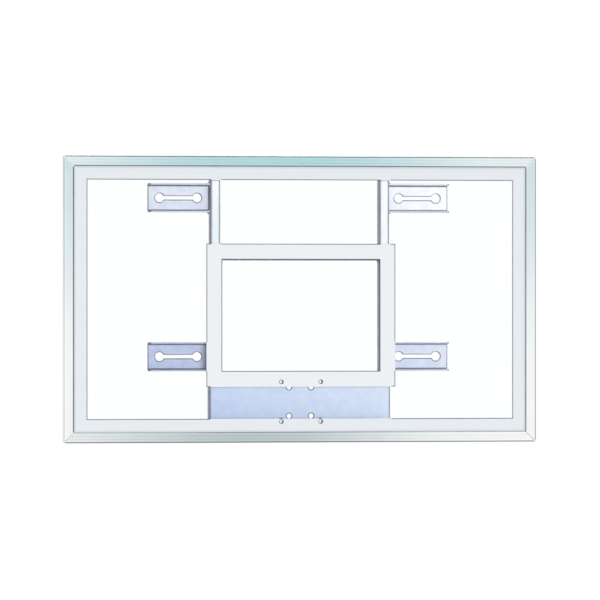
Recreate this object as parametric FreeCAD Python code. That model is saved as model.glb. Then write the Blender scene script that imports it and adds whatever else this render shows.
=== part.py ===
import FreeCAD, Part
import math
import os

# Glass basketball backboard with an aluminium edge frame and a welded steel frame behind it.
# Millimetres. The model is drawn with x from the middle, y back from the front of the frame and
# z up from the bottom edge. It is moved at the end so that the origin lies in the middle of the
# mast slots, on the rear face of the brackets. The front faces -Y.

V = FreeCAD.Vector

# Board
board_width = 1524.0
board_height = 914.4
corner_radius = 5.0

# Aluminium extrusion: front lip, glazing groove, rib, rear groove and rear lip on one outer wall
lip_reach = 31.75
lip_thickness = 3.2
wall_thickness = 3.2
rib_reach = 20.0
rib_thickness = 2.5
rear_groove = 8.6
lip_bevel = 2.5
lip_bevel_drop = 1.2
wall_round = 2.5
line_width = 1.6
line_depth = 0.6
line_shares = (0.36, 0.70)
mitre_gap = 0.2
seam_gap = 0.4

# Glass, gasket and white markings
glass_thickness = 12.7
gasket_thickness = 1.6
gasket_show = 1.2
marking_thickness = 0.3
marking_bond = 0.05
marking_gap = 0.3
border_inset = 76.2
target_width = 609.6
target_height = 457.2
target_line = 50.8
target_base = 177.8

# Goal holes
goal_spacing_x = 127.0
goal_spacing_z = 127.0
goal_height = 130.2
goal_bore = 10.3
grommet_wall = 1.2
grommet_flange = 1.6
grommet_clearance = 0.15
spacer_diameter = 25.4
spacer_bore = 12.0
access_spacing_x = 71.4
access_spacing_z = 92.1
access_diameter = 15.9

# Welded steel frame
frame_span = 577.85
upright_width = 31.75
steel_depth = 50.8
tube_wall = 3.2
tube_corner = 4.8
crossbar_depth = 31.75
crossbar_drop = 2.5
sheet = 4.76
bend_radius = 7.9
pan_margin = 3.175
pan_inset = 4.0
pan_height = 218.0
pan_edge_round = 4.0
tab_drop = 8.0
weld_leg = 6.35
weld_throat_share = 0.4
pan_weld_leg = 3.2
pan_weld_length = 45.0
pan_weld_shares = (-0.40, -0.20, 0, 0.20, 0.40)
pan_end_weld_shares = (0.30, 0.70)

# Slotted mast brackets
bracket_length = 196.85
bracket_height = 92.1
bracket_depth = 44.45
flange_corner = 8.0
keyhole_diameter = 28.6
keyhole_pitch = 120.65
slot_width = 11.1
throat_radius = 3.0
lower_row = 274.0
row_pitch = 508.0

# Bolts between the steel frame and the aluminium frame
bolt_diameter = 8.0
bolt_clearance = 0.4
bolt_inset = 21.0
head_across = 13.0
head_height = 5.0
washer_diameter = 16.0
washer_thickness = 1.6
nut_height = 6.5
bolt_stickout = 2.5
thread_clearance = 0.1
pan_bolt_shares = (-0.40, -0.16, 0.16, 0.40)

# Corner keys, splice bar and their screws
key_length = 95.0
key_width = 24.0
key_clearance = 0.2
splice_length = 160.0
screw_diameter = 4.8
screw_clearance = 0.3
screw_grip = 6.0
screw_head = 9.5
screw_head_height = 3.0
key_screw_shares = (0.42, 0.82)
splice_screw_shares = (-0.40, -0.16, 0.16, 0.40)

# Helpers of the modelling
overrun = 5.0
touch = 0.001

# Depths behind the front face of the lip
glass_front = lip_thickness + gasket_thickness
glass_rear = glass_front + glass_thickness
rib_front = glass_rear + gasket_thickness
rib_rear = rib_front + rib_thickness
rear_lip_front = rib_rear + rear_groove
steel_front = rear_lip_front + lip_thickness
steel_rear = steel_front + steel_depth

# Widths
pan_width = frame_span + 2 * pan_margin

# Heights above the bottom edge
upper_row = lower_row + row_pitch
mount_height = lower_row + row_pitch / 2
pan_top = pan_inset + pan_height
tube_top = board_height - lip_reach - tab_drop
target_top = target_base + target_height
bar_top = target_top - crossbar_drop
key_inset = wall_thickness + key_clearance
screw_inset = key_inset + key_width / 2

# Sides of the board: turn about the depth axis, length, and the middle of the outer edge
sides = {
    "bottom": (0, board_width, V(0, 0, 0)),
    "left": (90, board_height, V(-board_width / 2, 0, board_height / 2)),
    "top": (180, board_width, V(0, 0, board_height)),
    "right": (-90, board_height, V(board_width / 2, 0, board_height / 2)),
}
rows = {"upper": upper_row, "lower": lower_row}
hands = {"left": -1, "right": 1}


def box(x0, x1, y0, y1, z0, z1):
    """Block between two corners."""
    return Part.makeBox(x1 - x0, y1 - y0, z1 - z0, V(x0, y0, z0))


def rod(diameter, x, z, y0, y1):
    """Round bar along the depth."""
    return Part.makeCylinder(diameter / 2, y1 - y0, V(x, y0, z), V(0, 1, 0))


def ring(outside, bore, x, z, y0, y1):
    """Tube along the depth."""
    return rod(outside, x, z, y0, y1).cut(rod(bore, x, z, y0 - overrun, y1 + overrun))


def hexagon(across, x, z, y0, y1):
    """Six-sided block along the depth, flats at top and bottom."""
    reach = across / math.sqrt(3)
    turns = [math.radians(60 * k) for k in range(6)]
    corners = [V(x + reach * math.cos(a), y0, z + reach * math.sin(a)) for a in turns]
    return Part.Face(Part.makePolygon(corners + corners[:1])).extrude(V(0, y1 - y0, 0))


def plate(points, y0, y1):
    """Flat plate with a straight-sided outline, given as (x, z) points."""
    corners = [V(x, y0, z) for x, z in points]
    return Part.Face(Part.makePolygon(corners + corners[:1])).extrude(V(0, y1 - y0, 0))


def rounded_outline(width, depth, radius):
    """Rectangle with round corners, centred, as a wire across the height."""
    x, y, r = width / 2, depth / 2, radius
    middle = radius * (1 - math.sqrt(0.5))
    edges = []
    for sx, sy in ((1, -1), (1, 1), (-1, 1), (-1, -1)):
        side_on = V(sx * x, sy * (y - r), 0)
        end_on = V(sx * (x - r), sy * y, 0)
        bend = V(sx * (x - middle), sy * (y - middle), 0)
        start, end = (end_on, side_on) if sx * sy < 0 else (side_on, end_on)
        edges.append(Part.Arc(start, bend, end).toShape())
    last = len(edges)
    lines = [
        Part.makeLine(edges[k].lastVertex(True).Point, edges[(k + 1) % last].firstVertex(True).Point)
        for k in range(last)
    ]
    joined = [edge for pair in zip(edges, lines) for edge in pair]
    return Part.Wire(joined)


def tube(width, depth, length):
    """Rectangular tube with round corners, standing on the base plane."""
    outer = Part.Face(rounded_outline(width, depth, tube_corner))
    hollow = rounded_outline(width - 2 * tube_wall, depth - 2 * tube_wall, tube_corner - tube_wall)
    return outer.cut(Part.Face(hollow)).extrude(V(0, 0, length)).Solids[0]


def edges_where(shape, test):
    """Edges whose ends all pass a test."""
    return [e for e in shape.Edges if all(test(v.Point) for v in e.Vertexes)]


def strip(points, side):
    """Straight length along one side of the board, from (inset, depth) points of its section."""
    length = sides[side][1]
    corners = [V(-length / 2, depth, inset) for inset, depth in points]
    return Part.Face(Part.makePolygon(corners + corners[:1])).extrude(V(length, 0, 0))


def mitred(shape, side, reach):
    """Cut both ends of a strip to 45 degrees."""
    far = reach + overrun
    half = sides[side][1] / 2 - mitre_gap
    outline = [
        (-half - overrun, -overrun),
        (half + overrun, -overrun),
        (half - far, far),
        (far - half, far),
    ]
    return shape.common(plate(outline, -overrun, steel_rear))


def seat_on_side(shape, side):
    """Turn a strip to its side of the board and move it there."""
    angle, _, middle = sides[side]
    shape.rotate(V(0, 0, 0), V(0, 1, 0), angle)
    shape.translate(middle)
    return shape


def corner_waste(hand, top):
    """What the rounding takes off one outer corner of the frame."""
    z_sign = 1 if top else -1
    x = hand * board_width / 2
    z = board_height if top else 0
    block = box(0, corner_radius + overrun, 0, steel_front + 2 * overrun, 0, corner_radius + overrun)
    post = rod(2 * corner_radius, 0, 0, -overrun, steel_front + 2 * overrun)
    waste = block.cut(post)
    if hand < 0:
        waste = waste.mirror(V(0, 0, 0), V(1, 0, 0))
    if not top:
        waste = waste.mirror(V(0, 0, 0), V(0, 0, 1))
    waste.translate(V(x - hand * corner_radius, -overrun, z - z_sign * corner_radius))
    return waste


def frame_section():
    """Section of the aluminium extrusion as (inset, depth) points."""
    front = [(0, 0)]
    for share in line_shares:
        middle = lip_reach * share
        front += [(middle - line_width / 2, 0), (middle, line_depth), (middle + line_width / 2, 0)]
    return front + [
        (lip_reach - lip_bevel, 0),
        (lip_reach, lip_bevel_drop),
        (lip_reach, lip_thickness),
        (wall_thickness, lip_thickness),
        (wall_thickness, rib_front),
        (rib_reach, rib_front),
        (rib_reach, rib_rear),
        (wall_thickness, rib_rear),
        (wall_thickness, rear_lip_front),
        (lip_reach, rear_lip_front),
        (lip_reach, steel_front),
        (0, steel_front),
    ]


def key_screw_places():
    """Screw places of the corner keys by side of the board, as (x, z)."""
    places = {side: [] for side in sides}
    for hand in hands.values():
        for along in (key_length * share for share in key_screw_shares):
            x = hand * (board_width / 2 - along)
            x_side = hand * (board_width / 2 - screw_inset)
            side = "left" if hand < 0 else "right"
            places["bottom"].append((x, screw_inset))
            places["top"].append((x, board_height - screw_inset))
            places[side] += [(x_side, along), (x_side, board_height - along)]
    return places


def splice_screw_places():
    """Screw places of the splice bar at the top seam, as (x, z)."""
    return [(splice_length * share, board_height - screw_inset) for share in splice_screw_shares]


def bolt_places():
    """Places of the bolts in the bottom and top rails, as (x, z)."""
    upright = frame_span / 2 - upright_width / 2
    low = [(pan_width * share, bolt_inset) for share in pan_bolt_shares]
    high = [(hand * upright, board_height - bolt_inset) for hand in hands.values()]
    return {"bottom": low, "top": high}


def drill(shape, places, diameter, y0, y1):
    """Cut a round hole at each place."""
    for x, z in places:
        shape = shape.cut(rod(diameter, x, z, y0, y1))
    return shape


def frame_rail(side):
    """One whole side of the aluminium frame, with its holes in the rear lip."""
    rail = strip(frame_section(), side)
    outer = edges_where(rail, lambda p: abs(p.z) < touch)
    long_edges = [e for e in outer if abs(e.Vertexes[0].X - e.Vertexes[1].X) > touch]
    rail = rail.makeFillet(wall_round, long_edges)
    rail = seat_on_side(mitred(rail, side, lip_reach), side)
    for hand in hands.values():
        for top in (False, True):
            rail = rail.cut(corner_waste(hand, top))
    lip = (rear_lip_front - overrun / 2, steel_front + overrun)
    screws = key_screw_places()[side]
    if side == "top":
        screws = screws + splice_screw_places()
    rail = drill(rail, screws, screw_diameter + 2 * screw_clearance, *lip)
    return drill(rail, bolt_places().get(side, []), bolt_diameter + 2 * bolt_clearance, *lip)


def top_rail(hand):
    """Half of the top rail, cut square at the seam."""
    inner, outer = hand * seam_gap / 2, hand * board_width
    x0, x1 = min(inner, outer), max(inner, outer)
    z0 = board_height - lip_reach - overrun
    half = box(x0, x1, -overrun, steel_rear, z0, board_height + overrun)
    return frame_rail("top").common(half)


def gasket(side):
    """Channel strip between the glass edge and the frame."""
    base = wall_thickness + gasket_thickness
    show = lip_reach + gasket_show
    points = [
        (wall_thickness, lip_thickness),
        (show, lip_thickness),
        (show, glass_front),
        (base, glass_front),
        (base, glass_rear),
        (rib_reach, glass_rear),
        (rib_reach, rib_front),
        (wall_thickness, rib_front),
    ]
    return seat_on_side(mitred(strip(points, side), side, show), side)


def goal_places():
    """The four goal bolt places, as (x, z)."""
    x, z = goal_spacing_x / 2, goal_spacing_z / 2
    return [(sx * x, goal_height + sz * z) for sx in (-1, 1) for sz in (-1, 1)]


def glass_panel():
    """Glass sheet with its four drilled goal holes."""
    edge = wall_thickness + gasket_thickness
    x = board_width / 2 - edge
    sheet_glass = box(-x, x, glass_front, glass_rear, edge, board_height - edge)
    hole = goal_bore + 2 * (grommet_wall + grommet_clearance)
    return drill(sheet_glass, goal_places(), hole, glass_front - overrun, glass_rear + overrun)


def marking(x_out, z_low, z_high, line):
    """White line round a rectangle on the front of the glass, open at the goal holes."""
    rear = glass_front - marking_bond
    front = rear - marking_thickness
    outer = box(-x_out, x_out, front, rear, z_low, z_high)
    x_in = x_out - line
    inner = box(-x_in, x_in, front - overrun, rear + overrun, z_low + line, z_high - line)
    hole = goal_bore + 2 * (grommet_wall + grommet_clearance)
    return drill(outer.cut(inner), goal_places(), hole, front - overrun, rear + overrun)


def border_marking():
    """White border line, from the gasket inwards."""
    edge = lip_reach + gasket_show + marking_gap
    return marking(board_width / 2 - edge, edge, board_height - edge, border_inset - edge)


def target_marking():
    """White target box above the goal."""
    return marking(target_width / 2, target_base, target_top, target_line)


def glass_grommets():
    """Flanged sleeves that line the goal holes of the glass."""
    front = glass_front - marking_bond - marking_thickness
    outside = goal_bore + 2 * grommet_wall
    pieces = []
    for x, z in goal_places():
        sleeve = rod(outside, x, z, front, glass_rear + grommet_flange)
        flange = rod(spacer_diameter, x, z, glass_rear, glass_rear + grommet_flange)
        bore = rod(goal_bore, x, z, front - overrun, steel_front)
        pieces.append(sleeve.fuse(flange).cut(bore).removeSplitter())
    return Part.Compound(pieces)


def goal_spacers():
    """Steel tubes that carry the goal's pull from the glass to the pan."""
    front = glass_rear + grommet_flange
    return Part.Compound(
        [ring(spacer_diameter, spacer_bore, x, z, front, steel_front) for x, z in goal_places()]
    )


def upright(hand):
    """Steel tube from the pan to just below the top rail."""
    post = tube(upright_width, steel_depth, tube_top - pan_top)
    x = hand * (frame_span - upright_width) / 2
    post.translate(V(x, steel_front + steel_depth / 2, pan_top))
    return post


def crossbar():
    """Tube between the uprights, behind the target's top line."""
    length = frame_span - 2 * upright_width
    bar = tube(target_line, crossbar_depth, length)
    bar.rotate(V(0, 0, 0), V(0, 1, 0), 90)
    bar.translate(V(-length / 2, steel_front + crossbar_depth / 2, bar_top - target_line / 2))
    return bar


def goal_plate():
    """Face plate of the pan, drilled for the goal bolts, the access holes and the frame bolts."""
    x = pan_width / 2
    face = box(-x, x, steel_front, steel_front + sheet, pan_inset, pan_top)
    rim = edges_where(face, lambda p: abs(p.y - steel_front) < touch)
    face = face.makeFillet(pan_edge_round, rim)
    through = (steel_front - overrun, steel_front + sheet + overrun)
    face = drill(face, goal_places(), spacer_bore, *through)
    dx, dz = access_spacing_x / 2, access_spacing_z / 2
    access = [(sx * dx, goal_height + sz * dz) for sx in (-1, 1) for sz in (-1, 1)]
    face = drill(face, access, access_diameter, *through)
    return drill(face, bolt_places()["bottom"], bolt_diameter + 2 * bolt_clearance, *through)


def pan_flange(top):
    """Flat bar along the upper or lower edge of the pan, behind the face plate."""
    x = pan_width / 2
    z0 = pan_top - sheet if top else pan_inset
    return box(-x, x, steel_front + sheet, steel_rear, z0, z0 + sheet)


def pan_end(hand):
    """End plate of the pan, between the two flange bars."""
    x0, x1 = sorted((hand * pan_width / 2, hand * (pan_width / 2 - sheet)))
    return box(x0, x1, steel_front + sheet, steel_rear, pan_inset + sheet, pan_top - sheet)


def bracket_section():
    """Section of a mast bracket: web at the rear, flanges towards the glass."""
    front, rear = steel_rear - bracket_depth, steel_rear
    half = bracket_height / 2
    mid_out = bend_radius * (1 - math.sqrt(0.5))
    bend_in = bend_radius - sheet
    mid_in = sheet + bend_in * (1 - math.sqrt(0.5))
    turn = rear - bend_radius
    edges = []
    for sign in (1, -1):
        top, under = sign * half, sign * (half - sheet)
        side = sign * (half - bend_radius)
        edges += [
            Part.makeLine(V(0, front, top), V(0, turn, top)),
            Part.Arc(
                V(0, turn, top), V(0, rear - mid_out, top - sign * mid_out), V(0, rear, side)
            ).toShape(),
            Part.makeLine(V(0, front, top), V(0, front, under)),
            Part.makeLine(V(0, front, under), V(0, turn, under)),
            Part.Arc(
                V(0, turn, under), V(0, rear - mid_in, top - sign * mid_in), V(0, rear - sheet, side)
            ).toShape(),
        ]
    straight = half - bend_radius
    edges.append(Part.makeLine(V(0, rear, straight), V(0, rear, -straight)))
    edges.append(Part.makeLine(V(0, rear - sheet, straight), V(0, rear - sheet, -straight)))
    return Part.Face(Part.Wire(Part.__sortEdges__(edges)))


def keyhole_slot():
    """Cutter of the dumb-bell slot: a round hole at each end, a narrow slot and eased throats."""
    r, half = keyhole_diameter / 2, slot_width / 2
    angle = math.asin((half + throat_radius) / (r + throat_radius))
    lean = (math.pi / 2 + angle) / 2
    edges = []
    for end in (1, -1):
        centre = V(end * keyhole_pitch / 2, 0, 0)
        tips = {}
        for sign in (1, -1):
            out = V(-end * math.cos(angle), 0, sign * math.sin(angle))
            pivot = centre + out * (r + throat_radius)
            meet = V(end * math.cos(lean), 0, -sign * math.sin(lean))
            tips[sign] = centre + out * r
            flat = V(pivot.x, 0, sign * half)
            edges.append(Part.Arc(tips[sign], pivot + meet * throat_radius, flat).toShape())
        far = centre + V(end * r, 0, 0)
        edges.append(Part.Arc(tips[1], far, tips[-1]).toShape())
    x_flat = keyhole_pitch / 2 - (r + throat_radius) * math.cos(angle)
    for sign in (1, -1):
        edges.append(Part.makeLine(V(-x_flat, 0, sign * half), V(x_flat, 0, sign * half)))
    return Part.Face(Part.Wire(Part.__sortEdges__(edges))).extrude(V(0, sheet + 2 * overrun, 0))


def bracket(hand, height):
    """One slotted channel, welded to the outer face of an upright."""
    channel = bracket_section().extrude(V(bracket_length, 0, 0))
    front = steel_rear - bracket_depth
    free_end = edges_where(channel, lambda p: abs(p.x - bracket_length) < touch)
    tips = [e for e in free_end if all(abs(v.Y - front) < touch for v in e.Vertexes)]
    channel = channel.makeFillet(flange_corner, tips)
    slot = keyhole_slot()
    slot.translate(V(bracket_length / 2, steel_rear - sheet - overrun, 0))
    channel = channel.cut(slot)
    if hand < 0:
        channel = channel.mirror(V(0, 0, 0), V(1, 0, 0))
    channel.translate(V(hand * frame_span / 2, 0, height))
    return channel


def bead(corner, leg_a, leg_b, along):
    """Hollow-faced fillet bead with two legs from a corner, run along a third direction."""
    end_a, end_b = corner + leg_a, corner + leg_b
    face = corner + (leg_a + leg_b) * weld_throat_share
    arc = Part.Arc(end_a, face, end_b).toShape()
    edges = [Part.makeLine(corner, end_a), arc, Part.makeLine(end_b, corner)]
    return Part.Face(Part.Wire(edges)).extrude(along)


def depth_bead(x, z, x_sign, z_sign, y0, y1):
    """Fillet bead along the depth, in the corner at (x, z)."""
    legs = V(x_sign * weld_leg, 0, 0), V(0, 0, z_sign * weld_leg)
    return bead(V(x, y0, z), *legs, V(0, y1 - y0, 0))


def bracket_welds():
    """Beads above and below each bracket, against the upright."""
    y0, y1 = steel_rear - bracket_depth, steel_rear - bend_radius
    beads = []
    for hand in hands.values():
        for height in rows.values():
            for sign in (1, -1):
                z = height + sign * bracket_height / 2
                beads.append(depth_bead(hand * frame_span / 2, z, hand, sign, y0, y1))
    return Part.Compound(beads)


def frame_welds():
    """Beads at the crossbar's ends and at the feet of the uprights."""
    inner = frame_span / 2 - upright_width
    bar = (steel_front + tube_corner, steel_front + crossbar_depth - tube_corner)
    foot = (steel_front + tube_corner, steel_rear - tube_corner)
    beads = []
    for hand in hands.values():
        x = hand * inner
        beads.append(depth_bead(x, bar_top, -hand, 1, *bar))
        beads.append(depth_bead(x, bar_top - target_line, -hand, -1, *bar))
        beads.append(depth_bead(x, pan_top, -hand, 1, *foot))
    return Part.Compound(beads)


def pan_welds():
    """Short beads inside the pan, between the face plate and the bars and end plates round it."""
    y, back = steel_front + sheet, V(0, pan_weld_leg, 0)
    beads = []
    for z, sign in ((pan_inset + sheet, 1), (pan_top - sheet, -1)):
        for share in pan_weld_shares:
            start = V(pan_width * share - pan_weld_length / 2, y, z)
            leg = V(0, 0, sign * pan_weld_leg)
            beads.append(bead(start, back, leg, V(pan_weld_length, 0, 0)))
    for hand in hands.values():
        x = hand * (pan_width / 2 - sheet)
        for share in pan_end_weld_shares:
            start = V(x, y, pan_inset + pan_height * share - pan_weld_length / 2)
            leg = V(-hand * pan_weld_leg, 0, 0)
            beads.append(bead(start, back, leg, V(0, 0, pan_weld_length)))
    return Part.Compound(beads)


def top_tab(hand):
    """Folded tab that closes the upright and bolts to the rear lip of the top rail."""
    x = hand * (frame_span - upright_width) / 2
    x0, x1 = x - upright_width / 2, x + upright_width / 2
    high = board_height - pan_inset
    block = box(x0, x1, steel_front, steel_rear, tube_top, high)
    bend = edges_where(block, lambda p: abs(p.y - steel_front) < touch and abs(p.z - tube_top) < touch)
    block = block.makeFillet(bend_radius, bend)
    seat, back = tube_top + sheet, steel_front + sheet
    waste = box(x0 - overrun, x1 + overrun, back, steel_rear + overrun, seat, high + overrun)
    inside = edges_where(waste, lambda p: abs(p.y - back) < touch and abs(p.z - seat) < touch)
    tab = block.cut(waste.makeFillet(bend_radius - sheet, inside))
    place = [(x, board_height - bolt_inset)]
    hole = bolt_diameter + 2 * bolt_clearance
    return drill(tab, place, hole, steel_front - overrun, back + overrun)


def corner_key(hand, top):
    """Angle piece in the rear groove of one mitred corner, drilled for its screws."""
    points = [
        (key_inset, key_inset),
        (key_length, key_inset),
        (key_length, key_inset + key_width),
        (key_inset + key_width, key_inset + key_width),
        (key_inset + key_width, key_length),
        (key_inset, key_length),
    ]
    edge, base = board_width / 2, board_height if top else 0
    z_sign = -1 if top else 1
    outline = [(hand * (edge - a), base + z_sign * b) for a, b in points]
    key = plate(outline, rib_rear + key_clearance, rear_lip_front - key_clearance)
    places = key_screw_places()
    spots = places["left" if hand < 0 else "right"] + places["top" if top else "bottom"]
    near = [(x, z) for x, z in spots if x * hand > 0 and abs(z - base) < board_height / 2]
    return drill(key, near, screw_diameter + 2 * thread_clearance, rib_rear, rear_lip_front)


def splice_plate():
    """Bar in the rear groove behind the top seam."""
    x = splice_length / 2
    top = board_height - key_inset
    bar = box(-x, x, rib_rear + key_clearance, rear_lip_front - key_clearance, top - key_width, top)
    hole = screw_diameter + 2 * thread_clearance
    return drill(bar, splice_screw_places(), hole, rib_rear, rear_lip_front)


def frame_screws():
    """Cone-headed screws through the rear lip into the keys and the splice bar."""
    places = [place for side in key_screw_places().values() for place in side] + splice_screw_places()
    tip = rear_lip_front - key_clearance - screw_grip
    screws = []
    for x, z in places:
        shank = rod(screw_diameter, x, z, tip, steel_front + screw_head_height / 2)
        crown = Part.makeCone(
            screw_head / 2, screw_diameter / 2, screw_head_height, V(x, steel_front, z), V(0, 1, 0)
        )
        screws.append(crown.fuse(shank).removeSplitter())
    return Part.Compound(screws)


def all_bolt_places():
    """Every bolt place, as (x, z)."""
    return [place for group in bolt_places().values() for place in group]


def frame_bolts():
    """Hexagon bolts with their heads in the rear groove."""
    washer_rear = steel_front + sheet + washer_thickness
    end = washer_rear + nut_height + bolt_stickout
    bolts = []
    for x, z in all_bolt_places():
        head = hexagon(head_across, x, z, rear_lip_front - head_height, rear_lip_front)
        shank = rod(bolt_diameter, x, z, rear_lip_front - head_height / 2, end)
        bolts.append(head.fuse(shank).removeSplitter())
    return Part.Compound(bolts)


def frame_washers():
    """Plain washers behind the pan and the tabs."""
    y0 = steel_front + sheet
    bore = bolt_diameter + 2 * bolt_clearance
    return Part.Compound(
        [ring(washer_diameter, bore, x, z, y0, y0 + washer_thickness) for x, z in all_bolt_places()]
    )


def frame_nuts():
    """Hexagon nuts on the washers."""
    y0 = steel_front + sheet + washer_thickness
    y1 = y0 + nut_height
    bore = bolt_diameter + 2 * thread_clearance
    nuts = []
    for x, z in all_bolt_places():
        hole = rod(bore, x, z, y0 - overrun, y1 + overrun)
        nuts.append(hexagon(head_across, x, z, y0, y1).cut(hole))
    return Part.Compound(nuts)


def build():
    """Every piece of the backboard, by name."""
    pieces = {
        "glass_panel": glass_panel(),
        "border_marking": border_marking(),
        "target_marking": target_marking(),
        "frame_bottom_rail": frame_rail("bottom"),
        "glass_grommets": glass_grommets(),
        "goal_spacers": goal_spacers(),
        "goal_plate": goal_plate(),
        "pan_top_flange": pan_flange(True),
        "pan_bottom_flange": pan_flange(False),
        "crossbar": crossbar(),
        "bracket_welds": bracket_welds(),
        "frame_welds": frame_welds(),
        "pan_welds": pan_welds(),
        "top_splice_plate": splice_plate(),
        "frame_screws": frame_screws(),
        "frame_bolts": frame_bolts(),
        "frame_washers": frame_washers(),
        "frame_nuts": frame_nuts(),
    }
    for side in sides:
        pieces[f"gasket_{side}"] = gasket(side)
    for name, hand in hands.items():
        pieces[f"frame_{name}_rail"] = frame_rail(name)
        pieces[f"frame_top_{name}_rail"] = top_rail(hand)
        pieces[f"pan_{name}_end"] = pan_end(hand)
        pieces[f"{name}_upright"] = upright(hand)
        pieces[f"{name}_top_tab"] = top_tab(hand)
        pieces[f"corner_key_top_{name}"] = corner_key(hand, True)
        pieces[f"corner_key_bottom_{name}"] = corner_key(hand, False)
        for row, height in rows.items():
            pieces[f"bracket_{row}_{name}"] = bracket(hand, height)
    return pieces


os.makedirs("parts", exist_ok=True)
for piece_name, piece in build().items():
    piece.translate(V(0, -steel_rear, -mount_height))
    piece.exportStep(f"parts/{piece_name}.step")
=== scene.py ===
import logging
import math
from dataclasses import dataclass, replace
from enum import Enum
from itertools import product
from typing import Any, Callable, Mapping, Sequence

import bmesh
import bpy
from mathutils import Matrix, Vector


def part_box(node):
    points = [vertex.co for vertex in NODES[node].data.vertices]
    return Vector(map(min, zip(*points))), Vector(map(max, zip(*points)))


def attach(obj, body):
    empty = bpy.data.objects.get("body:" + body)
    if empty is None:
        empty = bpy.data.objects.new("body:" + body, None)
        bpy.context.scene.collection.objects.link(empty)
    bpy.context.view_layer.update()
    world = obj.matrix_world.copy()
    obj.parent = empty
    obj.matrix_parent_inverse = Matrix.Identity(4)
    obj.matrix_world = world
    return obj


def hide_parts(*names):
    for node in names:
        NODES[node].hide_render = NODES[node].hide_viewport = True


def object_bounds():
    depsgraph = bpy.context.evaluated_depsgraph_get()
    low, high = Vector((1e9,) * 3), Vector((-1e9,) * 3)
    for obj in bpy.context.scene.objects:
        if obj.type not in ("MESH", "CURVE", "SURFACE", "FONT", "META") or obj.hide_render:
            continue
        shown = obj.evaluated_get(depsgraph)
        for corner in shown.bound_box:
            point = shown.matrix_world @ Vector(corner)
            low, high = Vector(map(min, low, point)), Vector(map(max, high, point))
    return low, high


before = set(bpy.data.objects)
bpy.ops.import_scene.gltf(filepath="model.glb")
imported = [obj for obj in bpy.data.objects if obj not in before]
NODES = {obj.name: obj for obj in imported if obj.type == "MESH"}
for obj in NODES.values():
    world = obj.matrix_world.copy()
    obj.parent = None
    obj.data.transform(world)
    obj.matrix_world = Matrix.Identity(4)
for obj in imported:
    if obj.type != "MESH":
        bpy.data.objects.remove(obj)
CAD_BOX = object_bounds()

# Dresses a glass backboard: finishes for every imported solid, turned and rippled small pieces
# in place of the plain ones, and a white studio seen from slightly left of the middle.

log = logging.getLogger("backboard")

Colour = tuple[float, float, float, float]
Range = tuple[float, float]
Socket = bpy.types.NodeSocket
Sockets = Mapping[str, Socket]
Mesh = bmesh.types.BMesh
Edges = list[bmesh.types.BMEdge]

MM = 0.001
BODY = "root"
MERGE = 0.002 * MM
TOUCH = 0.05 * MM
SORT_DIGITS = 4
SHARP_ANGLE = math.radians(38)
FULL_TURN = 2 * math.pi
HEX_SIDES = 6

UNIT = (0.0, 1.0)
FADE = (1.0, 0.0)
LINE_CORE = 0.7


class Slot(Enum):
    """Material slots of the record; no new piece here takes its finish from them."""

    ZINC = "zinc_steel"
    WELD = "weld"
    GROMMET = "grommet"


class RailRun(Enum):
    """Direction in which a length of the edge frame was drawn."""

    ACROSS = (3.0, 900.0, 900.0)
    UPRIGHT = (900.0, 900.0, 3.0)


class Effect(Enum):
    """Surface effects that several finishes share, each a node group."""

    GRAIN = "surface_grain"
    LINES = "drawn_lines"
    WEAR_AND_SHADE = "edge_wear_and_shade"
    RECTANGLE = "rectangle_distance"
    BORE = "bore_distance"


def tint(red: int, green: int, blue: int) -> Colour:
    """Turn a colour as it shows on a screen into a linear one.

    Args:
        red: Red from 0 to 255.
        green: Green from 0 to 255.
        blue: Blue from 0 to 255.

    Returns:
        The linear colour with full alpha.
    """
    shares = (value / 255 for value in (red, green, blue))
    linear = [s / 12.92 if s <= 0.04045 else ((s + 0.055) / 1.055) ** 2.4 for s in shares]
    return (linear[0], linear[1], linear[2], 1.0)


# Node trees


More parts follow.
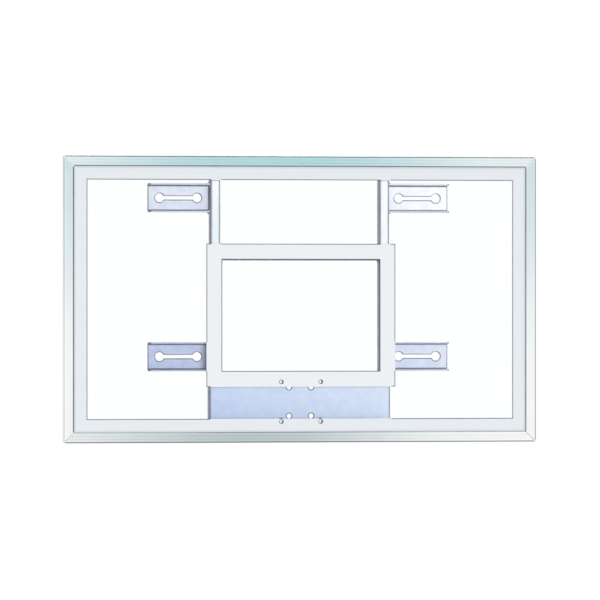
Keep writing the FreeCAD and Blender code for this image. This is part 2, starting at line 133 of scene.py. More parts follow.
class Graph:
    """Builds one node tree with short calls."""

    def __init__(self, tree: bpy.types.NodeTree) -> None:
        """Keep the tree that the calls add to."""
        self.tree = tree

    def node(self, kind: str, **settings: Any) -> bpy.types.Node:
        """Add a node and set its properties.

        Args:
            kind: Type name of the node.
            settings: Properties of the node by name.

        Returns:
            The new node.
        """
        made = self.tree.nodes.new(kind)
        for key, value in settings.items():
            setattr(made, key, value)
        return made

    def feed(self, socket: Socket, value: Any) -> None:
        """Link an input to another socket, or set its value.

        Args:
            socket: The input.
            value: The other socket, or the value.
        """
        if isinstance(value, Socket):
            self.tree.links.new(value, socket)
        else:
            socket.default_value = value

    def math(self, operation: str, *values: Any, clamp: bool = False) -> Socket:
        """Work out a number from sockets or plain numbers.

        Args:
            operation: Name of the math operation.
            values: Its operands in order.
            clamp: Whether the result stays between 0 and 1.

        Returns:
            The socket with the result.
        """
        made = self.node("ShaderNodeMath", operation=operation, use_clamp=clamp)
        for socket, value in zip(made.inputs, values):
            self.feed(socket, value)
        return made.outputs[0]

    def mix(self, factor: Any, first: Any, second: Any, blend: str = "MIX") -> Socket:
        """Mix two colours.

        Args:
            factor: Share of the second colour.
            first: First colour.
            second: Second colour.
            blend: How the second colour is laid over the first.

        Returns:
            The socket with the mixed colour.
        """
        made = self.node("ShaderNodeMix", data_type="RGBA", blend_type=blend)
        colours = [s for s in made.inputs if s.type == "RGBA"]
        self.feed(made.inputs[0], factor)
        self.feed(colours[0], first)
        self.feed(colours[1], second)
        return next(s for s in made.outputs if s.type == "RGBA")

    def span(
        self, value: Any, low: float, high: float, start: float = 0.0, end: float = 1.0
    ) -> Socket:
        """Ease a number from one range to another.

        Args:
            value: The number.
            low: Value that gives start.
            high: Value that gives end.
            start: Result at low.
            end: Result at high.

        Returns:
            The socket with the eased number.
        """
        made = self.node("ShaderNodeMapRange", interpolation_type="SMOOTHSTEP")
        for socket, item in zip(made.inputs, (value, low, high, start, end)):
            self.feed(socket, item)
        return made.outputs[0]

    def ramp(self, value: Socket, stops: Sequence[Range]) -> Socket:
        """Look a grey up on a ramp.

        Args:
            value: Place on the ramp, from 0 to 1.
            stops: Places and their greys.

        Returns:
            The socket with the grey colour.
        """
        made = self.node("ShaderNodeValToRGB")
        elements = made.color_ramp.elements
        while len(elements) < len(stops):
            elements.new(0.5)
        for element, (place, grey) in zip(elements, stops):
            element.position = place
            element.color = (grey, grey, grey, 1.0)
        self.feed(made.inputs[0], value)
        return made.outputs[0]

    def noise(self, vector: Socket, scale: Any, detail: float) -> Socket:
        """Add a noise pattern.

        Args:
            vector: Place in the pattern.
            scale: How fine the pattern is.
            detail: How many finer patterns lie over it.

        Returns:
            The socket with the pattern's value.
        """
        made = self.node("ShaderNodeTexNoise")
        self.feed(made.inputs["Vector"], vector)
        self.feed(made.inputs["Scale"], scale)
        self.feed(made.inputs["Detail"], detail)
        return made.outputs[0]

    def places(self) -> Socket:
        """Return the object coordinates."""
        return self.node("ShaderNodeTexCoord").outputs["Object"]

    def axes(self, vector: Socket) -> tuple[Socket, Socket, Socket]:
        """Split a vector into its three numbers.

        Args:
            vector: The vector.

        Returns:
            The three sockets.
        """
        made = self.node("ShaderNodeSeparateXYZ")
        self.feed(made.inputs[0], vector)
        return made.outputs[0], made.outputs[1], made.outputs[2]

    def length(self, first: Socket, second: Socket) -> Socket:
        """Work out the length of a way from its two square parts.

        Args:
            first: One part.
            second: The other part.

        Returns:
            The socket with the length.
        """
        squares = [self.math("MULTIPLY", part, part) for part in (first, second)]
        return self.math("SQRT", self.math("ADD", *squares))

    def effect(self, kind: Effect, **inputs: Any) -> bpy.types.Node:
        """Place a shared effect with its own values.

        Args:
            kind: The effect.
            inputs: Values of the group's inputs by name.

        Returns:
            The group node.
        """
        made = self.node("ShaderNodeGroup", node_tree=effect_group(kind))
        for label, value in inputs.items():
            self.feed(made.inputs[label], value)
        return made

    def grain(self, vector: Socket, scale: float, mottle: float) -> bpy.types.Node:
        """Place the grain effect with its fine and its slow pattern."""
        return self.effect(Effect.GRAIN, Vector=vector, Scale=scale, Mottle=mottle)

    def emboss(self, shader: bpy.types.Node, height: Socket, strength: float, depth: float) -> None:
        """Give a shader a relief.

        Args:
            shader: The shader.
            height: Height of the relief, from 0 to 1.
            strength: How strongly the relief shows.
            depth: Real size of the whole height.
        """
        made = self.node("ShaderNodeBump")
        self.feed(made.inputs["Strength"], strength)
        self.feed(made.inputs["Distance"], depth)
        self.feed(made.inputs["Height"], height)
        self.feed(shader.inputs["Normal"], made.outputs[0])

    def swap_shader(self, share: Socket, first: bpy.types.Node, second: bpy.types.Node) -> None:
        """Show a second shader in place of the first on a share of the rays.

        Args:
            share: Share of the second shader.
            first: First shader.
            second: Second shader.
        """
        made = self.node("ShaderNodeMixShader")
        self.feed(made.inputs[0], share)
        self.feed(made.inputs[1], first.outputs[0])
        self.feed(made.inputs[2], second.outputs[0])
        self.feed(self.tree.nodes["Material Output"].inputs["Surface"], made.outputs[0])


# Shared effects

FINE_DETAIL = 3.0
SLOW_DETAIL = 4.0
LINE_DETAIL = 5.0
SLOW_NOISE = (0.3, 0.7)
LINE_NOISE = (0.25, 0.75)
PATCH_NOISE = (0.3, 0.6)
PATCH_SHARES = (0.85, 1.0)
BEVEL_SAMPLES = 8
RIM_TURN = (0.004, 0.022)
FOLD_SLANT = (0.02, 0.12)
FLANK_TURN = (0.05, 0.4)


def paint_grain(graph: Graph, given: Sockets, results: Sockets) -> None:
    """Lay the fine pimples of a coat, and a slow change of tone over it.

    Args:
        graph: Graph of the group.
        given: Inputs of the group.
        results: Outputs of the group.
    """
    fine = graph.noise(given["Vector"], given["Scale"], FINE_DETAIL)
    slow = graph.noise(given["Vector"], given["Mottle"], SLOW_DETAIL)
    graph.feed(results["Height"], fine)
    graph.feed(results["Tone"], graph.span(slow, *SLOW_NOISE))


def paint_lines(graph: Graph, given: Sockets, results: Sockets) -> None:
    """Lay the long fine lines that a die or a brush leaves along a length of metal.

    Args:
        graph: Graph of the group.
        given: Inputs of the group.
        results: Outputs of the group.
    """
    stretched = graph.node("ShaderNodeVectorMath", operation="MULTIPLY")
    graph.feed(stretched.inputs[0], given["Vector"])
    graph.feed(stretched.inputs[1], given["Stretch"])
    lines = graph.noise(stretched.outputs[0], 1.0, LINE_DETAIL)
    graph.feed(results["Height"], lines)
    graph.feed(results["Tone"], graph.span(lines, *LINE_NOISE))


def paint_wear_and_shade(graph: Graph, given: Sockets, results: Sockets) -> None:
    """Mask sharp edges for wear and painted edge shade, rounded folds for painted shade in creases,
    and faces turned away from front and rear.

    Args:
        graph: Graph of the group.
        given: Inputs of the group.
        results: Outputs of the group.
    """
    normal = graph.node("ShaderNodeNewGeometry").outputs["Normal"]
    rounded = graph.node("ShaderNodeBevel", samples=BEVEL_SAMPLES)
    graph.feed(rounded.inputs["Radius"], given["Reach"])
    facing = graph.node("ShaderNodeVectorMath", operation="DOT_PRODUCT")
    graph.feed(facing.inputs[0], rounded.outputs[0])
    graph.feed(facing.inputs[1], normal)
    turned_away = graph.math("SUBTRACT", 1.0, facing.outputs["Value"])
    rim = graph.span(graph.math("MULTIPLY", turned_away, given["Keenness"]), *RIM_TURN)
    _, depth, _ = graph.axes(normal)
    square = graph.math("MULTIPLY", depth, depth)
    slant = graph.math("MULTIPLY", square, graph.math("SUBTRACT", 1.0, square))
    # Painted shade in the creases of rounded folds.
    fold = graph.math("MULTIPLY", graph.span(slant, *FOLD_SLANT), given["Folds"])
    noise = graph.noise(given["Vector"], given["Patches"], FINE_DETAIL)
    patches = graph.span(noise, *PATCH_NOISE, *PATCH_SHARES)
    graph.feed(results["Mask"], graph.math("MULTIPLY", graph.math("MAXIMUM", rim, fold), patches))
    # Mask of the flanks, faces turned sideways, which take a painted shade.
    graph.feed(results["Flank"], graph.span(square, *FLANK_TURN, *FADE))


def offsets(graph: Graph, given: Sockets) -> tuple[Socket, Socket]:
    """Measure how far a place lies from a centre, or from the nearer one of a pair.

    Args:
        graph: Graph of the group.
        given: Inputs of the group.

    Returns:
        The sockets with the distance outwards from the middle and the distance upwards.
    """
    x, _, z = graph.axes(given["Vector"])
    beside = graph.math("SUBTRACT", graph.math("ABSOLUTE", x), given["CentreX"])
    return beside, graph.math("SUBTRACT", z, given["CentreZ"])


def paint_rectangle(graph: Graph, given: Sockets, results: Sockets) -> None:
    """Measure from the edge of a rectangle, or of a pair left and right, seen from the front.

    Args:
        graph: Graph of the group.
        given: Inputs of the group.
        results: Outputs of the group.
    """
    beside, above = (graph.math("ABSOLUTE", offset) for offset in offsets(graph, given))
    reach_x = graph.math("SUBTRACT", beside, given["HalfX"])
    reach_z = graph.math("SUBTRACT", above, given["HalfZ"])
    graph.feed(results["Distance"], graph.math("MAXIMUM", reach_x, reach_z))


def paint_bore(graph: Graph, given: Sockets, results: Sockets) -> None:
    """Measure from the edge of a round hole, or of a pair left and right, seen from the front.

    Args:
        graph: Graph of the group.
        given: Inputs of the group.
        results: Outputs of the group.
    """
    away = graph.length(*offsets(graph, given))
    graph.feed(results["Distance"], graph.math("SUBTRACT", away, given["Radius"]))


Painter = Callable[[Graph, Sockets, Sockets], None]
EFFECTS: dict[Effect, tuple[Painter, dict[str, float], tuple[str, ...]]] = {
    Effect.GRAIN: (paint_grain, {"Scale": 900.0, "Mottle": 6.0}, ("Height", "Tone")),
    Effect.LINES: (paint_lines, {}, ("Height", "Tone")),
    Effect.WEAR_AND_SHADE: (
        paint_wear_and_shade,
        {"Reach": 2 * MM, "Keenness": 1.0, "Patches": 60.0, "Folds": 0.0},
        ("Mask", "Flank"),
    ),
    Effect.RECTANGLE: (
        paint_rectangle,
        {"CentreX": 0.0, "CentreZ": 0.0, "HalfX": 0.5, "HalfZ": 0.5},
        ("Distance",),
    ),
    Effect.BORE: (paint_bore, {"CentreX": 0.0, "CentreZ": 0.0, "Radius": 5 * MM}, ("Distance",)),
}


def effect_group(kind: Effect) -> bpy.types.NodeTree:
    """Return a shared effect's node group, built on its first use.

    Args:
        kind: The effect.

    Returns:
        The node group.
    """
    found = bpy.data.node_groups.get(kind.value)
    if found:
        return found
    paint, numbers, results = EFFECTS[kind]
    tree = bpy.data.node_groups.new(kind.value, "ShaderNodeTree")
    vectors = ("Vector", "Stretch") if kind is Effect.LINES else ("Vector",)
    for label in vectors:
        tree.interface.new_socket(name=label, in_out="INPUT", socket_type="NodeSocketVector")
    for label, value in numbers.items():
        made = tree.interface.new_socket(name=label, in_out="INPUT", socket_type="NodeSocketFloat")
        made.default_value = value
    for label in results:
        tree.interface.new_socket(name=label, in_out="OUTPUT", socket_type="NodeSocketFloat")
    graph = Graph(tree)
    paint(graph, graph.node("NodeGroupInput").outputs, graph.node("NodeGroupOutput").inputs)
    return tree


# Places on the board


@dataclass(frozen=True)
class Rectangle:
    """A rectangle seen from the front, or a pair of them left and right."""

    centre_x: float
    centre_z: float
    half_x: float
    half_z: float

    @classmethod
    def of_node(cls, node: str) -> "Rectangle":
        """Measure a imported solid.

        Args:
            node: Name of the solid.

        Returns:
            Its rectangle, with the right one standing for a pair.
        """
        low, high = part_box(node)
        middle, size = (low + high) / 2, high - low
        return cls(abs(middle.x), middle.z, size.x / 2, size.z / 2)

    @classmethod
    def of_board(cls) -> "Rectangle":
        """Return the outline of the whole board."""
        low, high = CAD_BOX
        return cls(0.0, (low.z + high.z) / 2, high.x, (high.z - low.z) / 2)

    def inset(self, by: float) -> "Rectangle":
        """Return the rectangle with each side moved inwards."""
        return replace(self, half_x=self.half_x - by, half_z=self.half_z - by)

    def distance(self, graph: Graph, places: Socket) -> Socket:
        """Measure how far places lie from the rectangle's edge.

        Args:
            graph: Graph of the material.
            places: Object coordinates.

        Returns:
            The socket with the distance, less than 0 inside.
        """
        made = graph.effect(
            Effect.RECTANGLE,
            Vector=places,
            CentreX=self.centre_x,
            CentreZ=self.centre_z,
            HalfX=self.half_x,
            HalfZ=self.half_z,
        )
        return made.outputs["Distance"]


@dataclass(frozen=True)
class Bore:
    """A round hole seen from the front, or a pair of them left and right."""

    centre_x: float
    centre_z: float
    radius: float

    def ring(self, graph: Graph, places: Socket, width: float) -> Socket:
        """Mask a ring round the hole.

        Args:
            graph: Graph of the material.
            places: Object coordinates.
            width: Where the ring has faded out.

        Returns:
            The socket with the mask.
        """
        made = graph.effect(
            Effect.BORE,
            Vector=places,
            CentreX=self.centre_x,
            CentreZ=self.centre_z,
            Radius=self.radius,
        )
        return graph.span(made.outputs["Distance"], LINE_CORE * width, width, *FADE)


# Finishes


@dataclass(frozen=True)
class Finish:
    """A surface finish, whose material is built on its first use."""

    name: str
    roughness: float

    @property
    def material(self) -> bpy.types.Material:
        """The finish's material."""
        return bpy.data.materials.get(self.name) or self.make()

    def make(self) -> bpy.types.Material:
        """Build the material.

        Returns:
            The new material.
        """
        made = bpy.data.materials.new(self.name)
        made.use_nodes = True
        shader = made.node_tree.nodes["Principled BSDF"]
        shader.inputs["Roughness"].default_value = self.roughness
        self.paint(Graph(made.node_tree), shader)
        return made

    def paint(self, graph: Graph, shader: bpy.types.Node) -> None:
        """Lay colour, gloss and relief on the shader.

        Args:
            graph: Graph of the material.
            shader: Its shader.
        """
        raise NotImplementedError

    def vary_roughness(
        self, graph: Graph, shader: bpy.types.Node, tone: Socket, spread: float, matt: Any = 0.0
    ) -> None:
        """Let the gloss change with a tone between 0 and 1.

        Args:
            graph: Graph of the material.
            shader: Its shader.
            tone: The tone.
            spread: How far the roughness moves to each side.
            matt: Roughness that is kept at least.
        """
        eased = graph.span(tone, *UNIT, self.roughness - spread, self.roughness + spread)
        graph.feed(shader.inputs["Roughness"], graph.math("MAXIMUM", eased, matt))


@dataclass(frozen=True)
class ClearGlass(Finish):
    """Polished clear glass, a little greener towards the edges of the sheet."""

    sheet: Rectangle
    clear: Colour = tint(254, 255, 255)
    green: Colour = tint(236, 249, 243)
    index: float = 1.5
    edge_band: float = 60 * MM
    wave_scale: float = 9.0
    wave_mottle: float = 3.0
    wave: float = 0.02
    wave_depth: float = 0.5 * MM

    def paint(self, graph: Graph, shader: bpy.types.Node) -> None:
        """Lay the tint on, and let lamps through to what stands behind.

        Args:
            graph: Graph of the material.
            shader: Its shader.
        """
        places = graph.places()
        edge = graph.span(self.sheet.distance(graph, places), -self.edge_band, 0.0)
        graph.feed(shader.inputs["Base Color"], graph.mix(edge, self.clear, self.green))
        shader.inputs["Transmission Weight"].default_value = 1.0
        shader.inputs["IOR"].default_value = self.index
        wave = graph.grain(places, self.wave_scale, self.wave_mottle)
        graph.emboss(shader, wave.outputs["Height"], self.wave, self.wave_depth)
        lamp_ray = graph.node("ShaderNodeLightPath").outputs["Is Shadow Ray"]
        graph.swap_shader(lamp_ray, shader, graph.node("ShaderNodeBsdfTransparent"))


@dataclass(frozen=True)
class FiredEnamel(Finish):
    """White enamel fired on the glass, with a thin grey line where it borders on clear glass, and a
    painted shadow beside the frame's lip.
    """

    white: Colour
    shade: Colour
    line: Colour
    line_width: float
    lined: tuple[Rectangle, ...]
    backed: tuple[Rectangle, ...]
    bores: tuple[Bore, ...]
    bore_line: float = 1.1 * MM
    # Edge of the frame, and the tone and reach of the shadow painted beside it.
    rim: Rectangle | None = None
    rim_shade_tone: Colour = tint(196, 204, 208)
    rim_shadow: float = 11 * MM
    grain_scale: float = 700.0
    mottle: float = 90.0
    gloss_spread: float = 0.02
    relief: float = 0.04
    relief_depth: float = 0.1 * MM

    def thin_line(self, graph: Graph, places: Socket) -> Socket:
        """Find the line along the edges that have no steel behind them, and round the holes.

        Args:
            graph: Graph of the material.
            places: Object coordinates.

        Returns:
            The socket with the line's mask.
        """
        line: Any = 0.0
        for edge in self.lined:
            away = graph.math("ABSOLUTE", edge.distance(graph, places))
            beside = graph.span(away, LINE_CORE * self.line_width, self.line_width, *FADE)
            line = graph.math("MAXIMUM", line, beside)
        for steel in self.backed:
            clear = graph.math("GREATER_THAN", steel.distance(graph, places), 0.0)
            line = graph.math("MULTIPLY", line, clear)
        for bore in self.bores:
            line = graph.math("MAXIMUM", line, bore.ring(graph, places, self.bore_line))
        return line

    def paint(self, graph: Graph, shader: bpy.types.Node) -> None:
        """Lay on the white, its thin line, a faint unevenness of the firing, and a painted shadow
        beside the frame's lip.

        Args:
            graph: Graph of the material.
            shader: Its shader.
        """
        places = graph.places()
        grain = graph.grain(places, self.grain_scale, self.mottle)
        uneven_and_shaded = graph.mix(grain.outputs["Tone"], self.shade, self.white)
        if self.rim:
            # Painted shadow: the enamel darkens towards the frame's lip.
            inside = graph.span(self.rim.distance(graph, places), -self.rim_shadow, 0.0)
            uneven_and_shaded = graph.mix(inside, uneven_and_shaded, self.rim_shade_tone)
        lined = graph.mix(self.thin_line(graph, places), uneven_and_shaded, self.line)
        graph.feed(shader.inputs["Base Color"], lined)
        self.vary_roughness(graph, shader, grain.outputs["Tone"], self.gloss_spread)
        graph.emboss(shader, grain.outputs["Height"], self.relief, self.relief_depth)


@dataclass(frozen=True)
class SatinAluminium(Finish):
    """Satin anodised extrusion: drawn lines, a painted reflection as a cool tone that drifts round
    the frame, painted shade in the lip's grooves, along its rims and on the sides, and a painted
    highlight on the mitres.

    Places across the front lip are shares of its reach, and tones are shares of full brightness.
    """

    run: RailRun
    # Painted shade: shares of the dark rims along the lip's outer and inner edges.
    outer_shade: float
    inner_shade: float
    # Painted reflection: tones of the drift, from head to foot, and along the head and foot rails.
    head: Colour
    foot: Colour = tint(253, 255, 255)
    sky: Colour = tint(188, 223, 229)
    slate: Colour = tint(194, 207, 209)
    # Painted highlight along the mitres.
    mitre_highlight: Colour = tint(248, 254, 254)
    # Tone of the lip's painted shade rims, and of the mitres' dark joints.
    dark: Colour = tint(70, 78, 84)
    # Painted shade: brightness of the sides and rear against the front.
    flank: float = 0.8
    lip_reach: float = 31.75 * MM
    # Painted shade: darker bands where the lip's grooves lie.
    lip_shade_tones: tuple[Range, ...] = (
        (0.0, 1.0),
        (0.33, 1.0),
        (0.37, 0.92),
        (0.41, 0.98),
        (0.68, 0.97),
        (0.71, 0.88),
        (0.75, 1.0),
        (1.0, 1.0),
    )
    # Painted reflection: where the drift starts, and where the head and foot rails take their
    # tones.
    drift_drop: float = 0.6
    rail_band: float = 1.5
    sky_centre: float = -0.09
    sky_fade: Range = (0.15, 0.78)
    slate_centre: float = -0.18
    slate_fade: Range = (0.0, 0.85)
    front_fade: Range = (1.2 * MM, 3 * MM)
    outer_fade: Range = (0.08, 0.13)
    inner_fade: Range = (0.9, 0.95)
    mitre_fade: Range = (3 * MM, 5.5 * MM)
    joint_fade: Range = (0.5 * MM, 1.6 * MM)
    joint_share: float = 0.6
    drawn_tones: Range = (0.97, 1.01)
    cloud_tones: Range = (0.98, 1.0)
    grain_scale: float = 1400.0
    mottle: float = 7.0
    gloss_spread: float = 0.07
    relief: float = 0.12
    relief_depth: float = 0.08 * MM

    def reflection_drift(self, graph: Graph, x: Socket, z: Socket, on_foot: Socket) -> Socket:
        """Paint a reflection as a tone that drifts upwards, bluer along the head rails and greyer
        along the foot rail.

        Args:
            graph: Graph of the material.
            x: Place from left to right.
            z: Height.
            on_foot: Mask of the foot rail.

        Returns:
            The socket with the colour.
        """
        board, top = Rectangle.of_board(), CAD_BOX[1].z
        rising = graph.span(z, board.centre_z - self.drift_drop * board.half_z, top)
        tone = graph.mix(rising, self.foot, self.head)
        on_head = graph.math("GREATER_THAN", z, top - self.rail_band * self.lip_reach)
        for rail, centre, fade, colour in (
            (on_head, self.sky_centre, self.sky_fade, self.sky),
            (on_foot, self.slate_centre, self.slate_fade, self.slate),
        ):
            away = graph.math("ABSOLUTE", graph.math("SUBTRACT", x, centre))
            near = graph.math("MULTIPLY", graph.span(away, *fade, *FADE), rail)
            tone = graph.mix(near, tone, colour)
        return tone

    def line_lip(
        self, graph: Graph, inset: Socket, front: Socket, on_foot: Socket, tone: Socket
    ) -> Socket:
        """Lay painted shade on the front lip: bands at its grooves and two dark rims along its
        edges.

        Args:
            graph: Graph of the material.
            inset: Place across the lip.
            front: Mask of the front.
            on_foot: Mask of the foot rail, which has no inner rim.
            tone: Colour so far.

        Returns:
            The socket with the colour.
        """
        banded = graph.mix(front, tone, graph.ramp(inset, self.lip_shade_tones), "MULTIPLY")
        outer = graph.span(inset, *self.outer_fade, self.outer_shade, 0.0)
        inner = graph.span(inset, *self.inner_fade, 0.0, self.inner_shade)
        off_foot = graph.math("SUBTRACT", 1.0, on_foot)
        rims = graph.math("MAXIMUM", outer, graph.math("MULTIPLY", inner, off_foot))
        return graph.mix(graph.math("MULTIPLY", rims, front), banded, self.dark)

    def mark_mitre(self, graph: Graph, x: Socket, z: Socket, front: Socket, tone: Socket) -> Socket:
        """Lay a painted highlight and a dark joint along the mitres.

        Args:
            graph: Graph of the material.
            x: Place from left to right.
            z: Height.
            front: Mask of the front.
            tone: Colour so far.

        Returns:
            The socket with the colour.
        """
        board = Rectangle.of_board()
        to_side = graph.math("SUBTRACT", board.half_x, graph.math("ABSOLUTE", x))
        rise = graph.math("ABSOLUTE", graph.math("SUBTRACT", z, board.centre_z))
        to_end = graph.math("SUBTRACT", board.half_z, rise)
        off_mitre = graph.math("ABSOLUTE", graph.math("SUBTRACT", to_side, to_end))
        # Painted highlight beside each mitre.
        edge = graph.math("MULTIPLY", graph.span(off_mitre, *self.mitre_fade, *FADE), front)
        joint = graph.span(off_mitre, *self.joint_fade, self.joint_share, 0.0)
        highlighted = graph.mix(edge, tone, self.mitre_highlight)
        return graph.mix(graph.math("MULTIPLY", joint, front), highlighted, self.dark)

    def paint(self, graph: Graph, shader: bpy.types.Node) -> None:
        """Lay on the painted reflection's drifting tone, the lip's painted shade, the mitres'
        painted highlight and dark joint, the drawn lines, and painted shade on the sides.

        Args:
            graph: Graph of the material.
            shader: Its shader.
        """
        low = CAD_BOX[0]
        places = graph.places()
        x, y, z = graph.axes(places)
        lines = graph.effect(Effect.LINES, Vector=places, Stretch=self.run.value)
        grain = graph.grain(places, self.grain_scale, self.mottle)
        front = graph.span(y, *(low.y + depth for depth in self.front_fade), *FADE)
        below = graph.math("LESS_THAN", z, low.z + self.rail_band * self.lip_reach)
        on_foot = graph.math("MULTIPLY", below, float(self.run is RailRun.ACROSS))
        from_edge = Rectangle.of_board().distance(graph, places)
        inset = graph.math("MULTIPLY", from_edge, -1 / self.lip_reach)
        # Painted reflection drifting round the frame.
        tone = self.reflection_drift(graph, x, z, on_foot)
        tone = self.line_lip(graph, inset, front, on_foot, tone)
        tone = self.mark_mitre(graph, x, z, front, tone)
        drawn = graph.span(lines.outputs["Tone"], *UNIT, *self.drawn_tones)
        cloud = graph.span(grain.outputs["Tone"], *UNIT, *self.cloud_tones)
        # Painted shade: the sides and rear are darker than the front.
        side = graph.span(front, *UNIT, self.flank, 1.0)
        worked_and_shaded = graph.math("MULTIPLY", graph.math("MULTIPLY", drawn, cloud), side)
        shade = graph.node("ShaderNodeCombineColor")
        for socket in shade.inputs:
            graph.feed(socket, worked_and_shaded)
        shaded = graph.mix(1.0, tone, shade.outputs[0], "MULTIPLY")
        graph.feed(shader.inputs["Base Color"], shaded)
        shader.inputs["Metallic"].default_value = 1.0
        self.vary_roughness(graph, shader, lines.outputs["Tone"], self.gloss_spread)
        graph.emboss(shader, lines.outputs["Height"], self.relief, self.relief_depth)


@dataclass(frozen=True)
class PowderCoat(Finish):
    """Pale blue-grey powder coat with painted light: deeper low down on the left and paler to the
    upper right, painted shade on flanks and creases, and edges darkened by wear and painted shade.

    It has painted dark rings round drilled holes, and a painted shadow in the pockets beside the
    brackets.
    """

    # Painted light: the coat runs from deep, low on the left, to pale, high on the right, by start,
    # per_x and per_z.
    deep: Colour = tint(184, 203, 235)
    pale: Colour = tint(250, 254, 255)
    # Edges take this tone: partly wear, partly painted edge shade.
    wear_and_shade_tone: Colour = tint(84, 88, 118)
    # Painted shade: flanks are mixed towards this darker, bluer tone.
    flank: Colour = tint(136, 140, 188)
    flank_shade: float = 0.55
    sheen: float = 0.3
    peel_scale: float = 650.0
    peel: float = 0.16
    peel_depth: float = 0.2 * MM
    mottle: float = 38.0
    cloud_shift: float = 0.05
    gloss_spread: float = 0.08
    # Reach of the edges' wear and painted shade, narrower on the front lip.
    wear_and_shade_reach: float = 4.8 * MM
    lip_wear_and_shade_reach: float = 4.8 * MM
    lip_depth: float = -30.0 * MM
    lip_fade: float = 5.0 * MM
    keenness: float = 1.0
    patches: float = 260.0
    # Share of painted shade in rounded folds.
    folds: float = 0.85
    start: float = 0.66
    per_x: float = 0.39
    per_z: float = 1.18
    # Painted shade: dark rings round the drilled holes.
    bores: tuple[Bore, ...] = ()
    bore_shade_reach: float = 3.2 * MM
    bore_shade_tone: Colour = tint(40, 56, 92)
    # Painted shadow in the pockets between the brackets' flanks, deepest towards the rear.
    pockets: tuple[Rectangle, ...] = ()
    pocket_mouth: float = -54.0 * MM
    pocket_floor: float = -20.0 * MM
    pocket_fade: float = 10.0 * MM
    pocket_shade_tone: Colour = tint(48, 48, 86)

    def tone(self, graph: Graph, x: Socket, z: Socket, cloud: Socket) -> Socket:
        """Paint light into the coat's colour: deeper low down on the left, paler towards the upper
        right where the light falls.

        Args:
            graph: Graph of the material.
            x: Place from left to right.
            z: Height.
            cloud: Slow change of tone, from 0 to 1.

        Returns:
            The socket with the colour.
        """
        across = graph.math("MULTIPLY", x, self.per_x)
        slope = graph.math("ADD", across, graph.math("MULTIPLY", z, self.per_z))
        shift = graph.span(cloud, *UNIT, -self.cloud_shift, self.cloud_shift)
        share = graph.math("ADD", graph.math("ADD", slope, self.start), shift, clamp=True)
        return graph.mix(share, self.deep, self.pale)

    def pocket_shade(self, graph: Graph, places: Socket, flank: Socket) -> Socket:
        """Find where a painted shadow darkens the flanks in the pockets beside the brackets.

        Args:
            graph: Graph of the material.
            places: Object coordinates.
            flank: Mask of the flanks.

        Returns:
            The socket with the mask.
        """
        _, y, _ = graph.axes(places)
        pocket_shade: Any = 0.0
        for pocket in self.pockets:
            inside = graph.span(pocket.distance(graph, places), -self.pocket_fade, 0.0, *FADE)
            pocket_shade = graph.math("MAXIMUM", pocket_shade, inside)
        sunk = graph.math("MULTIPLY", pocket_shade, graph.span(y, self.pocket_mouth, self.pocket_floor))
        return graph.math("MULTIPLY", sunk, flank)

    def paint(self, graph: Graph, shader: bpy.types.Node) -> None:
        """Lay on the coat's tone with its painted light, its orange peel, its edges darkened by
        wear and painted shade, and the painted shadow in the pockets.

        Args:
            graph: Graph of the material.
            shader: Its shader.
        """
        places = graph.places()
        x, y, z = graph.axes(places)
        grain = graph.grain(places, self.peel_scale, self.mottle)
        lip = (self.lip_depth - self.lip_fade, self.lip_depth)
        wear_and_shade = graph.effect(
            Effect.WEAR_AND_SHADE,
            Vector=places,
            Reach=graph.span(y, *lip, self.lip_wear_and_shade_reach, self.wear_and_shade_reach),
            Keenness=self.keenness,
            Patches=self.patches,
            Folds=self.folds,
        )
        # Painted shade on the flanks.
        flank_shade_share = graph.math("MULTIPLY", wear_and_shade.outputs["Flank"], self.flank_shade)
        coat = graph.mix(flank_shade_share, self.tone(graph, x, z, grain.outputs["Tone"]), self.flank)
        # Edges: partly wear, partly painted edge shade.
        coat = graph.mix(wear_and_shade.outputs["Mask"], coat, self.wear_and_shade_tone)
        # Painted shade round the drilled holes.
        for bore in self.bores:
            coat = graph.mix(bore.ring(graph, places, self.bore_shade_reach), coat, self.bore_shade_tone)
        matt: Any = 0.0
        # Painted shadow in the pockets, which are also matt.
        if self.pockets:
            matt = self.pocket_shade(graph, places, wear_and_shade.outputs["Flank"])
            coat = graph.mix(matt, coat, self.pocket_shade_tone)
        graph.feed(shader.inputs["Base Color"], coat)
        shader.inputs["Specular IOR Level"].default_value = self.sheen
        self.vary_roughness(graph, shader, grain.outputs["Tone"], self.gloss_spread, matt)
        graph.emboss(shader, grain.outputs["Height"], self.peel, self.peel_depth)


@dataclass(frozen=True)
class BareMetal(Finish):
    """Plated or mill-finished metal with a faint grain, and edges darkened by wear and painted
    shade.
    """

    light: Colour
    dark: Colour
    grain_scale: float
    mottle: float
    wear_and_shade_reach: float = 0.8 * MM
    patches: float = 200.0
    wear_and_shade_share: float = 0.5
    gloss_spread: float = 0.09
    relief: float = 0.1
    relief_depth: float = 0.1 * MM

    def paint(self, graph: Graph, shader: bpy.types.Node) -> None:
        """Lay on the metal's two tones, its grain, and its edges darkened by wear and painted
        shade.

        Args:
            graph: Graph of the material.
            shader: Its shader.
        """
        places = graph.places()
        grain = graph.grain(places, self.grain_scale, self.mottle)
        wear_and_shade = graph.effect(Effect.WEAR_AND_SHADE, Vector=places, Reach=self.wear_and_shade_reach, Patches=self.patches)
        metal = graph.mix(grain.outputs["Tone"], self.dark, self.light)
        # Edges: partly wear, partly painted edge shade.
        edge = graph.math("MULTIPLY", wear_and_shade.outputs["Mask"], self.wear_and_shade_share)
        graph.feed(shader.inputs["Base Color"], graph.mix(edge, metal, self.dark))
        shader.inputs["Metallic"].default_value = 1.0
        self.vary_roughness(graph, shader, grain.outputs["Tone"], self.gloss_spread)
        graph.emboss(shader, grain.outputs["Height"], self.relief, self.relief_depth)


